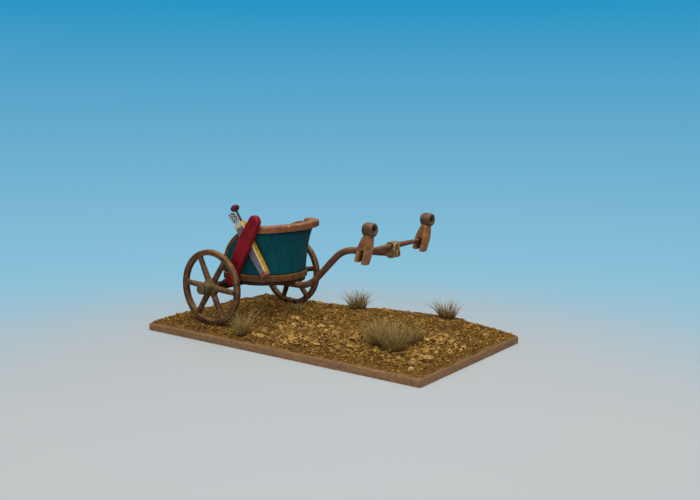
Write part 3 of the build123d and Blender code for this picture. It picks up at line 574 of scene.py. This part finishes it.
def grass_tuft(x, y, foot, height, blades, seed):
    """Points and faces of one tuft, and how far along its blade each point lies. A blade
    is a three-sided tapering tube along a curve that leans outwards as the square of its
    length. The blades start on a small disc and stay over the plate, clear of the wheels."""
    rng = np.random.default_rng(seed)
    steps, sides = 6, 3
    tip_girth, foot_girth = 0.012, 0.062
    plate_gap, wheel_gap, beside_cab, foot_sunk = 0.2, 0.6, 12, 0.15
    angle = rng.uniform(0, 2 * np.pi, blades)
    away = np.sqrt(rng.uniform(0, 1, blades))
    share = rng.uniform(0, 1, blades) ** 1.7
    reach = height * (0.3 + 0.7 * share)
    lean = (0.15 + 0.85 * away ** 1.5) * rng.uniform(0.5, 1.1, blades) * (0.8 + 0.6 * share)
    outward = angle + rng.normal(0, 0.5, blades)
    t = np.linspace(0, 1, steps)
    side = (lean * reach)[:, None] * (0.3 * t + 0.5 * t ** 2)
    start = np.stack([x + away * foot / 2 * np.cos(angle), y + away * foot / 2 * np.sin(angle)])
    push = np.stack([np.cos(outward), np.sin(outward)]) * side[:, -1]
    wheel_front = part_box("near_wheel_rim")[1][0] / MM + wheel_gap
    before_wheel = x > wheel_front and abs(y) > beside_cab
    low, high = plate_gap - plate_high[:2, None], plate_high[:2, None] - plate_gap
    low[0] = wheel_front if before_wheel else low[0]
    room = np.where(push > 0, high - start, start - low)
    short = np.clip(room / np.abs(push), 0, 1).min(0)
    side = side * short[:, None]
    path_x = start[0][:, None] + np.cos(outward)[:, None] * side
    path_y = start[1][:, None] + np.sin(outward)[:, None] * side
    base = ground_height(path_x[:, 0], path_y[:, 0]) - foot_sunk
    path_z = base[:, None] + reach[:, None] * (t - 0.26 * np.minimum(lean, 1)[:, None] * t ** 2)
    girth = foot_girth * (1 - t) ** 0.6 + tip_girth
    around = np.array([0, 2, 4]) * np.pi / 3
    ring = np.stack([np.cos(around), np.sin(around), 0 * around], -1)
    points = np.stack([path_x, path_y, path_z], -1)[:, :, None, :] + girth[:, None, None] * ring
    last = (steps - 1) * sides
    faces = np.concatenate([halved(grid_faces(steps, sides, wrap_columns=True)),
                            [(2, 1, 0), (last, last + 1, last + 2)]])
    faces = (faces[None] + steps * sides * np.arange(blades)[:, None, None]).reshape(-1, 3)
    along = np.broadcast_to(t[None, :, None], (blades, steps, sides)).reshape(-1)
    return points.reshape(-1, 3), faces, along


def joined(parts):
    """Points and faces of several forms, given as pairs, run together."""
    starts = np.cumsum([0] + [len(points) for points, _ in parts[:-1]])
    faces = [faces + start for (_, faces), start in zip(parts, starts)]
    return np.concatenate([points for points, _ in parts]), np.concatenate(faces)


def tag_points(piece, name, values):
    """Stores a number or a vector at each point of a piece, for its material to read."""
    single = values.ndim == 1
    layer = piece.data.attributes.new(name, "FLOAT" if single else "FLOAT_VECTOR", "POINT")
    layer.data.foreach_set("value" if single else "vector", values.astype(np.float32).ravel())


# X, Y, width of the foot, height and number of blades of each tuft.
tufts = (
    (-12.3, -21.6, 3.0, 8.2, 210), (-2.4, 17.0, 4.2, 7.4, 300), (29.5, -12.5, 4.6, 8.4, 280),
    (30.0, -4.5, 3.8, 7.4, 200), (21.5, -4.5, 3.6, 6.6, 170), (24.0, -11.0, 4.8, 8.0, 280),
    (25.1, 21.0, 4.2, 7.0, 260), (-16.0, 6.0, 2.8, 4.0, 90),
)
bunches = [grass_tuft(*row, seed=41 + number) for number, row in enumerate(tufts)]
grass = new_piece("grass_tufts_fibres", *joined([bunch[:2] for bunch in bunches]),
                  grass_material(), "dry_grass")
tag_points(grass, "along", np.concatenate([bunch[2] for bunch in bunches]))
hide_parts("grass_tufts")


# Axle and floor bearer. Cast with the cab's floor, painted near black brown so that they
# read as shadow under the cab.
def settle(piece, grain, rounds, wobble):
    """Gives a piece an even skin of a grain size in millimetres, its points averaged with
    their neighbours in rounds, and a slow uneven wave along its normals."""
    skin = piece.modifiers.new("even_skin", "REMESH")
    skin.mode = "VOXEL"
    skin.voxel_size = grain * MM
    skin.use_smooth_shade = True
    ease = piece.modifiers.new("eased_edges", "SMOOTH")
    ease.factor = 0.5
    ease.iterations = rounds
    view = piece.evaluated_get(bpy.context.evaluated_depsgraph_get())
    mesh = bpy.data.meshes.new_from_object(view)
    old = piece.data
    piece.modifiers.clear()
    piece.data = mesh
    bpy.data.meshes.remove(old)
    count = len(mesh.vertices)
    places, normals = np.empty(count * 3, np.float32), np.empty(count * 3, np.float32)
    mesh.vertices.foreach_get("co", places)
    mesh.vertices.foreach_get("normal", normals)
    places, normals = places.reshape(-1, 3) / MM, normals.reshape(-1, 3)
    wave = (lattice_noise(places[:, 0], places[:, 2], 1.9, 61)
            + lattice_noise(places[:, 1] + 7, places[:, 2], 1.3, 62)
            + lattice_noise(places[:, 0], places[:, 1] - 5, 0.9, 63)) / 3
    sink = 0.4
    places += normals * (wave * wobble - wobble * sink)[:, None]
    mesh.vertices.foreach_set("co", (places * MM).ravel())
    mesh.update()


def cast_copy(names, material, grain, rounds=4, wobble=0.03, body=root_body, *, slot):
    """Soft-edged copy of kept pieces, as white metal comes out of a rubber mould: their
    loose triangles are merged, rebuilt as even skin of a grain size, eased by averaging each
    point with its neighbours, then pushed along the normals by a slow uneven wave."""
    parts = []
    for name in names:
        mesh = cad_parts[name].data
        corners = np.empty(len(mesh.vertices) * 3, np.float32)
        mesh.vertices.foreach_get("co", corners)
        index = np.empty(len(mesh.loops), np.int32)
        mesh.loops.foreach_get("vertex_index", index)
        parts.append((corners.reshape(-1, 3), index.reshape(-1, 3)))
    points, faces = joined(parts)
    keys, index = np.unique(np.round(points / 1e-6).astype(np.int64), axis=0, return_inverse=True)
    faces = index.ravel()[faces]
    whole = (faces[:, 0] != faces[:, 1]) & (faces[:, 1] != faces[:, 2]) & (faces[:, 0] != faces[:, 2])
    piece = new_piece("cast_" + names[0], keys * 1e-6 / MM, faces[whole], material, slot, body)
    settle(piece, grain, rounds, wobble)
    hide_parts(*names)
    return piece


under_paint = brushed_paint("dark_brown_acrylic", "#2E1F18", "#1C120D", "#5A4030",
                            drybrush_and_top_light=0.5, wash_and_shade=0.6)
for name in ("axle", "floor_bearer"):
    cast_copy([name], under_paint, 0.24, slot="dark_brown_paint")


# Wheels. One-piece castings of rim, six tapered spokes and hub, warm brown with ochre
# drybrushed along the outer edges; the nave ends are touched in with olive.
wheel_paint = brushed_paint("brown_acrylic_wheel", "#6E4D32", "#3A241A", "#CCA064",
                            drybrush_and_top_light=1.0, wash_and_shade=0.9)
nave_paint = brushed_paint("olive_brown_acrylic_nave", "#625434", "#382C18", "#A08E5C",
                           drybrush_and_top_light=0.8, wash_and_shade=0.9)
for side in ("near", "far"):
    wheel = f"{side}_wheel"
    cast_copy([f"{wheel}_rim", f"{wheel}_spokes"], wheel_paint, 0.18, rounds=3,
              slot="brown_paint", body=wheel)
    cast_copy([f"{side}_nave"], nave_paint, 0.12, slot="nave_paint", body=wheel)
    cast_copy([f"{side}_axle_cap"], nave_paint, 0.1, slot="nave_paint")


# Floor frame, rails and floor. Bent-wood members in the cast, copper brown with a pale
# line on the top edges.
wood_paint = brushed_paint("copper_brown_acrylic", "#905A3A", "#663C26", "#CFA084",
                           drybrush_and_top_light=1.0, wash_and_shade=0.8)
band_paint = brushed_paint("umber_acrylic_band", "#755029", "#4A2F18", "#B58C4A",
                           drybrush_and_top_light=0.9, wash_and_shade=0.8)
cast_copy(["floor_frame"], band_paint, 0.23, slot="brown_paint")
cast_copy(["top_rail"], wood_paint, 0.2, slot="brown_paint")
for side in ("near", "far"):
    cast_copy([f"{side}_side_rail"], band_paint, 0.16, slot="brown_paint")


def woven_floor():
    """Painted basket weave: strips that pass over and under each other, one way in every
    second square and the other way between, rounded across and dark in the gaps."""
    material, tree = new_material("painted_woven_rawhide_floor")
    place = add(tree, "ShaderNodeTexCoord").outputs["Object"]
    parts = add(tree, "ShaderNodeSeparateXYZ", {0: place})
    strip = 1.5 * MM
    rounds, squares = [], []
    for axis in "XY":
        along = math(tree, "DIVIDE", parts.outputs[axis], strip)
        squares.append(math(tree, "FLOOR", along))
        off_middle = math(tree, "SUBTRACT", math(tree, "FRACT", along), 0.5)
        rounds.append(math(tree, "SUBTRACT", 1.0, math(tree, "POWER", math(
            tree, "MULTIPLY", math(tree, "ABSOLUTE", off_middle), 2.0), 4.0)))
    parity = math(tree, "FRACT", math(tree, "MULTIPLY", math(tree, "ADD", *squares), 0.5))
    over = math(tree, "GREATER_THAN", parity, 0.25)
    height = add(tree, "ShaderNodeMix", {"Factor": over, "A": rounds[0], "B": rounds[1]},
                 data_type="FLOAT").outputs["Result"]
    ends = add(tree, "ShaderNodeMix", {"Factor": over, "A": rounds[1], "B": rounds[0]},
               data_type="FLOAT").outputs["Result"]
    relief_height = math(tree, "MULTIPLY", height, spread(tree, ends, 0.0, 0.6, 0.55, 1.0))
    coat = two_tone(tree, noise(tree, place, 1.2, 4.0), 0.35, 0.65, "#6E4E2C", "#8F6C3F")
    coat = mix_colours(tree, spread(tree, relief_height, 0.75, 0.25, 0.0, 0.85), coat,
                       linear("#2A1B0E"))
    close_material(tree, coat, 0.65, 0.25, (relief_height, 0.9, 0.15))
    return material


coat_node("cab_floor", woven_floor())


# Cab skin. The thin wall of the casting, painted flat teal; painted shade darkens it towards
# the floor and the corners.
skin_paint = brushed_paint("teal_acrylic_skin", "#05505D", "#043F4B", "#146874",
                           drybrush_and_top_light=0.3, wash_and_shade=1.0, streak=(1.0, 1.0, 0.4), sheen=0.12)
cast_copy(["cab_skin"], skin_paint, 0.25, rounds=2, wobble=0.02, slot="teal_paint")


# Draught gear. Round bars of the casting for pole and yoke, the pole bent upwards in front
# of the cab; brown like the wheels, with pale worn edges.
gear_paint = brushed_paint("brown_acrylic_gear", "#76503A", "#492E20", "#BE9468",
                           drybrush_and_top_light=1.0, wash_and_shade=0.9)
cast_copy(["pole"], gear_paint, 0.19, slot="brown_paint")
cast_copy(["yoke"], gear_paint, 0.14, slot="brown_paint")


# Yoke saddles. Forked wishbones, each cast in one with a drilled ball on its top; the ball
# is left darker, and the legs' ridges are picked out in tan.
def swept_tube(path, halves):
    """Closed tube along a polyline in the plane of X and Z: each section is an ellipse with
    its own half thickness in that plane and half width along Y, closed by a fan."""
    sides = 28
    path, halves = np.array(path, float), np.array(halves, float)
    at = np.linspace(0, len(path) - 1, 30)
    index = np.arange(len(path))
    path = np.stack([np.interp(at, index, path[:, k]) for k in range(3)], -1)
    halves = np.stack([np.interp(at, index, halves[:, k]) for k in range(2)], -1)
    run = np.gradient(path, axis=0)
    run[:, 1] = 0
    run /= np.linalg.norm(run, axis=1, keepdims=True)
    side = np.stack([run[:, 2], 0 * run[:, 0], -run[:, 0]], -1)
    around = np.linspace(0, 2 * np.pi, sides, endpoint=False)
    ring = (path[:, None] + halves[:, None, :1] * np.cos(around)[None, :, None] * side[:, None]
            + halves[:, None, 1:] * np.sin(around)[None, :, None] * np.array([0.0, 1.0, 0.0]))
    points = np.concatenate([path[:1], ring.reshape(-1, 3), path[-1:]])
    faces = halved(grid_faces(len(at), sides, wrap_columns=True, start=1))
    following = (np.arange(sides) + 1) % sides
    foot = np.stack([np.zeros(sides, int), 1 + following, 1 + np.arange(sides)], -1)
    last = 1 + (len(at) - 1) * sides
    head = np.stack([np.full(sides, len(points) - 1), last + np.arange(sides), last + following], -1)
    return points, np.concatenate([faces, foot, head])


def rounded_square(angle, power):
    """Distance from the middle, at each angle, of the curve |u|^n + |v|^n = 1 with the
    power n: a circle at 2 and the closer to a square the higher it is."""
    return (np.abs(np.cos(angle)) ** power + np.abs(np.sin(angle)) ** power) ** (-1 / power)


def drilled_ball(middle, radius, half_length, bore):
    """Ball on the X axis with a bore through it: a ring of a rounded section turned about
    that axis, whose outer side bulges and whose inner side is straight."""
    steps, sides, squareness = 48, 24, 3.0
    t = np.linspace(0, 2 * np.pi, sides, endpoint=False)
    square = rounded_square(t, squareness)
    mean, half = (radius + bore) / 2, (radius - bore) / 2
    away = mean + half * square * np.cos(t)
    along = half_length * square * np.sin(t)
    turn = np.linspace(0, 2 * np.pi, steps, endpoint=False)
    points = np.stack([np.broadcast_to(along, (steps, sides)), away * np.cos(turn)[:, None],
                       away * np.sin(turn)[:, None]], -1) + middle
    return points.reshape(-1, 3), halved(grid_faces(steps, sides, wrap_rows=True, wrap_columns=True))


def fused(name, parts, grain, rounds, material, slot):
    """One casting from overlapping closed forms: their common skin is rebuilt in an even
    grain, eased, and pushed along its normals by a slow uneven wave."""
    piece = new_piece(name, *joined(parts), material, slot)
    settle(piece, grain, rounds, wobble=0.04)
    return piece


knob_paint = brushed_paint("dark_brown_acrylic_knob", "#6A4E3A", "#3E2C20", "#B39274",
                           drybrush_and_top_light=1.0, wash_and_shade=1.0)
saddle_paint = brushed_paint("tan_brown_acrylic_saddle", "#AA764C", "#6A462C", "#E4B888",
                             drybrush_and_top_light=1.0, wash_and_shade=1.0)
ball_set_back, ball_radius, ball_half_length, ball_bore = 1.65, 1.85, 1.5, 0.66
# X and Z of each leg's foot and of its bend, from the ball's middle.
leg_bends = ((-3.45, -8.1, -2.3, -4.6), (-1.3, -8.7, -0.3, -5.0))
for side in ("near", "far"):
    low, high = in_mm(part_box(f"{side}_yoke_saddle"))
    middle = np.array([high[0] - ball_set_back, (low[1] + high[1]) / 2, high[2] - ball_radius])
    width = (high[1] - low[1]) / 2
    knob = drilled_ball(middle, ball_radius, ball_half_length, ball_bore)
    legs = []
    for foot_x, foot_z, bend_x, bend_z in leg_bends:
        path = [middle + (foot_x, 0, foot_z), middle + (bend_x, 0, bend_z),
                middle + (bend_x * 0.35 - 0.1, 0, -2.2), middle + (0, 0, -1.3)]
        legs.append(swept_tube(path, [(0.75, width * 0.86), (0.95, width * 0.9),
                                      (1.05, width * 0.86), (0.9, width * 0.72)]))
    web = swept_tube([middle + (-1.5, 0, -5.2), middle + (-0.3, 0, -1.4)],
                     [(0.9, width * 0.62), (0.9, width * 0.6)])
    saddle = fused(f"wishbone_saddle_{side}", legs + [web], 0.15, 5, saddle_paint, "brown_paint")
    ball = fused(f"drilled_ball_{side}", [knob], 0.1, 3, knob_paint, "brown_paint")
    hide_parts(f"{side}_yoke_saddle")
    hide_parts(f"{side}_yoke_saddle")


# Pole lashing. Cord wound over yoke and pole in two crossing runs round a plain core, cast
# in relief on the real piece and painted tan.
def wound_loops(centres, half_size, across, girth):
    """Closed cord loops: each follows a rounded rectangle of two half sizes about a centre,
    in the plane that is square to an axis, and carries a round section of a girth."""
    steps, sides, squareness = 40, 8, 4.0
    a, b = half_size
    t = np.linspace(0, 2 * np.pi, steps, endpoint=False)
    unit = rounded_square(t, squareness)
    around = np.linspace(0, 2 * np.pi, sides, endpoint=False)
    quads = grid_faces(steps, sides, wrap_rows=True, wrap_columns=True)
    loops = []
    for centre in centres:
        path = np.zeros((steps, 3))
        u_axis, v_axis = [k for k in range(3) if k != across]
        path[:, u_axis] = a * unit * np.cos(t)
        path[:, v_axis] = b * unit * np.sin(t)
        run = np.roll(path, -1, 0) - np.roll(path, 1, 0)
        run /= np.linalg.norm(run, axis=1, keepdims=True)
        axis = np.eye(3)[across]
        side = np.cross(run, axis)
        ring = (path[:, None] + girth * (np.cos(around)[None, :, None] * side[:, None]
                                         + np.sin(around)[None, :, None] * axis))
        outward = np.dot(np.cross(run[0], axis), path[0]) < 0
        loops.append(((ring + centre).reshape(-1, 3), quads if outward else quads[:, ::-1]))
    return joined(loops)


cord_paint = brushed_paint("tan_acrylic_cord", "#8A6D45", "#4E3A22", "#C2A878",
                           drybrush_and_top_light=0.9, wash_and_shade=1.0)
wrap_low, wrap_high = in_mm(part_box("pole_lashing"))
wrap_middle = (wrap_low + wrap_high) / 2
wrap_half = (wrap_high - wrap_low) / 2
girth = 0.2
core_share = 0.86
shifts = np.linspace(-1, 1, 6)
along_pole = [wrap_middle + (shift * (wrap_half[0] - girth), 0, 0) for shift in shifts]
along_yoke = [wrap_middle + (0, shift * (wrap_half[1] - girth), 0) for shift in shifts]
under = wound_loops(along_pole, (wrap_half[1] - 2 * girth, wrap_half[2] - 2 * girth), 0, girth)
over = wound_loops(along_yoke, (wrap_half[0] - girth, wrap_half[2] - girth), 1, girth)
lashing = new_piece("wound_pole_lashing", *joined([under, over]), cord_paint, "cord_paint")
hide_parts("pole_lashing")
core = cast_copy(["pole_lashing"], cord_paint, 0.12, rounds=8, wobble=0.0, slot="cord_paint")
core.data.transform(Matrix.Translation(Vector(wrap_middle * MM)) @ Matrix.Scale(core_share, 4)
                    @ Matrix.Translation(Vector(-wrap_middle * MM)))


# Bow case. Long leather case cast on the cab's near side, crossing outside the quiver;
# crimson, drybrushed pale on its worn edges, and a little brighter along its upper edge
# from a painted highlight.
case_paint = brushed_paint("crimson_acrylic_case", "#8E0E1C", "#640814", "#C22A32",
                           drybrush_and_top_light=0.7, wash_and_shade=0.7, gloss=0.5)
cast_copy(["bow_case"], case_paint, 0.2, rounds=8, wobble=0.04, slot="crimson_paint")


# Quiver. Box-shaped arrow case: a grey-lilac panel with cream borders on the outer side,
# yellow front and back, salmon-orange foot; hollow at the mouth.
def quiver_painted():
    """Panel paint by place: U runs across the case, V round from its outer face, W along."""
    material, tree = new_material("painted_quiver_panels")
    parts = add(tree, "ShaderNodeSeparateXYZ", {
        0: add(tree, "ShaderNodeAttribute", attribute_name="panel").outputs["Vector"]})
    u, v, w = (parts.outputs[k] for k in "XYZ")
    place = add(tree, "ShaderNodeTexCoord").outputs["Object"]
    mottle = noise(tree, place, 0.8, 4.0, 0.6)
    lilac = two_tone(tree, mottle, 0.35, 0.65, "#55516A", "#7C7A90")
    yellow = two_tone(tree, mottle, 0.35, 0.65, "#A87F12", "#D2A722")
    outer = math(tree, "LESS_THAN", v, -0.62)
    coat = mix_colours(tree, outer, yellow, lilac)
    edge = math(tree, "ABSOLUTE", u)
    ragged = math(tree, "ADD", edge, math(tree, "MULTIPLY", math(tree, "SUBTRACT", mottle, 0.5), 0.12))
    border = math(tree, "MULTIPLY", outer, math(tree, "GREATER_THAN", ragged, 0.80))
    coat = mix_colours(tree, border, coat, linear("#C9B98C"))
    inner_line = math(tree, "MULTIPLY", math(tree, "GREATER_THAN", ragged, 0.72),
                      math(tree, "LESS_THAN", ragged, 0.80))
    coat = mix_colours(tree, math(tree, "MULTIPLY", inner_line, outer), coat, linear("#2C2A38"))
    top_band = math(tree, "GREATER_THAN", w, 0.93)
    coat = mix_colours(tree, math(tree, "MULTIPLY", top_band, outer), coat, linear("#C9B98C"))
    # Painted shade with dark lining: near black brown where other surfaces stand near, around the
    # case's joins.
    coat = mix_colours(tree, crevices(tree, 1.2, 0.9, 0.3, 0.75), coat, linear("#241C14"))
    close_material(tree, coat, 0.6, 0.35, (mottle, 0.3, 0.04))
    return material


wall_foot, wall_lean, stand_off, frame_top = 11.0, 0.4 / 12.2, 1.05, 16.6
foot_rise, mouth_rise = 0.7, 14.4
foot = np.array([-12.3, -(wall_foot + wall_lean * foot_rise + stand_off), frame_top + foot_rise])
mouth = np.array([-21.4, -(wall_foot + wall_lean * mouth_rise + stand_off), frame_top + mouth_rise])
length = np.linalg.norm(mouth - foot)
along = (mouth - foot) / length
across = np.cross((0, 1, 0), along)
across /= np.linalg.norm(across)
inward = np.cross(along, across)
half_foot, half_width, half_depth, lip, hollow = 1.0, 1.65, 0.95, 0.3, 1.4
tip_length = 0.9
foot_round, mouth_round, lip_round = 0.06, 0.08, 0.05
sides, squareness = 96, 10
angle = np.linspace(0, 2 * np.pi, sides, endpoint=False)
square = rounded_square(angle, squareness)
shape_u, shape_v = square * np.cos(angle), square * np.sin(angle)
walls = np.linspace(tip_length, length - mouth_round, 40)
widening = half_foot + (half_width - half_foot) * (walls - tip_length) / (length - tip_length)
# Half width, half depth and place along the case of each ring, from the foot up the outer
# side, over the lip and down to the floor of the hollow.
rows = ([(0, 0, tip_length), (half_foot - foot_round, half_depth - foot_round, tip_length)]
        + [(half, half_depth, w) for half, w in zip(widening, walls)]
        + [(half_width - mouth_round, half_depth - mouth_round, length),
           (half_width - lip + lip_round, half_depth - lip + lip_round, length),
           (half_width - lip, half_depth - lip, length - mouth_round),
           (half_width - lip, half_depth - lip, length - hollow),
           (0, 0, length - hollow)])
rows = np.array(rows)
u = rows[:, 0, None] * shape_u
v = rows[:, 1, None] * shape_v
w = np.broadcast_to(rows[:, 2, None], u.shape)
points = foot + u[..., None] * across + v[..., None] * inward + w[..., None] * along
faces = grid_faces(len(rows), sides, wrap_columns=True)
quiver = new_piece("painted_quiver", points, faces, quiver_painted(), "case_paint")
panel = np.stack([u / np.maximum(rows[:, :1], 0.5), v / half_depth, w / length], -1)
tag_points(quiver, "panel", panel)
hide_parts("quiver")
tip_paint = brushed_paint("salmon_orange_acrylic", "#B06044", "#7A3D2B", "#E0A283")
cast_copy(["quiver_tip"], tip_paint, 0.1, slot="orange_paint")


# Arrows and rod. Fletched ends standing in the quiver's mouth, each feather a thin blade
# painted in white and black checks under a purple nock, and a ball-topped rod beside them.
checks_across, checks_along, nock_from = 1.5, 3.7, 6.6


def fletching_paint():
    """White and near-black checks that follow the feathers, purple over the top."""
    material, tree = new_material("checked_acrylic_fletching")
    panel = add(tree, "ShaderNodeAttribute", attribute_name="panel").outputs["Vector"]
    height = add(tree, "ShaderNodeSeparateXYZ", {0: panel}).outputs["Z"]
    check = add(tree, "ShaderNodeTexChecker", {"Vector": panel, "Scale": 1.0}).outputs["Fac"]
    place = add(tree, "ShaderNodeTexCoord").outputs["Object"]
    white = two_tone(tree, noise(tree, place, 0.5, 2.0), 0.3, 0.6, "#8B8580", "#D8D4CC")
    coat = mix_colours(tree, check, linear("#1B1620"), white)
    purple = math(tree, "GREATER_THAN", height, nock_from)
    coat = mix_colours(tree, purple, coat, linear("#5A2234"))
    close_material(tree, coat, 0.6, 0.3)
    return material


def blade(turn, low, high, half):
    """Closed feather: a thin flat lozenge, wide in the middle of its height and narrowed
    at both ends as one minus the fourth power of the distance from the middle."""
    steps, sides = 12, 6
    t = np.linspace(-1, 1, steps)
    wide = half * (0.45 + 0.55 * (1 - t ** 4))
    ring = np.array([(1, 0.0), (0.6, 0.09), (-0.6, 0.09), (-1, 0.0), (-0.6, -0.09), (0.6, -0.09)])
    u = np.cos(turn) * ring[:, 0] * wide[:, None] - np.sin(turn) * ring[:, 1]
    v = np.sin(turn) * ring[:, 0] * wide[:, None] + np.cos(turn) * ring[:, 1]
    w = np.broadcast_to((low + (high - low) * (t + 1) / 2)[:, None], u.shape)
    end = np.array([(0, 1, 2), (0, 2, 3), (0, 3, 4), (0, 4, 5)])
    faces = np.concatenate([halved(grid_faces(steps, sides, wrap_columns=True)),
                            end[:, [0, 2, 1]], end + (steps - 1) * sides])
    tags = np.stack([np.broadcast_to(ring[:, 0] * checks_across + 0.25, u.shape), 0 * u + turn,
                     np.broadcast_to((t[:, None] + 1) * checks_along, u.shape)], -1)
    return np.stack([u, v, w], -1).reshape(-1, 3), faces, tags.reshape(-1, 3)


floor, pitch, shift, lean = length - hollow, 0.85, 0.22, np.radians(11)
feather_low, feather_high, feather_half = 2.2, 5.2, 0.42
shaft_low, shaft_high, shaft_half = 0.02, 5.35, 0.15
blades = [blade(0.0, feather_low, feather_high, feather_half),
          blade(np.pi / 2, feather_low, feather_high, feather_half),
          blade(0.0, shaft_low, shaft_high, shaft_half)]
tilt = np.array([(np.cos(lean), 0, np.sin(lean)), (0, 1, 0), (-np.sin(lean), 0, np.cos(lean))])
parts, tags = [], []
for row in (-0.5, 0.5):
    for column in (0, 1):
        stem = (-half_width + lip + pitch * (column + 0.5) + shift, row * pitch, floor)
        for shape, sides, tag in blades:
            parts.append((shape @ tilt + stem, sides))
            tags.append(tag)
local, faces = joined(parts)
points = foot + local[:, :1] * across + local[:, 1:2] * inward + local[:, 2:] * along
arrows = new_piece("fletched_arrows", points, faces, fletching_paint(), "fletching_paint",
                   smooth=False)
tag_points(arrows, "panel", np.concatenate(tags))
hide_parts("arrows")
rod_paint = brushed_paint("dark_red_acrylic", "#5E2426", "#3A1517", "#94504A")
cast_copy(["knobbed_rod"], rod_paint, 0.1, slot="red_brown_paint")
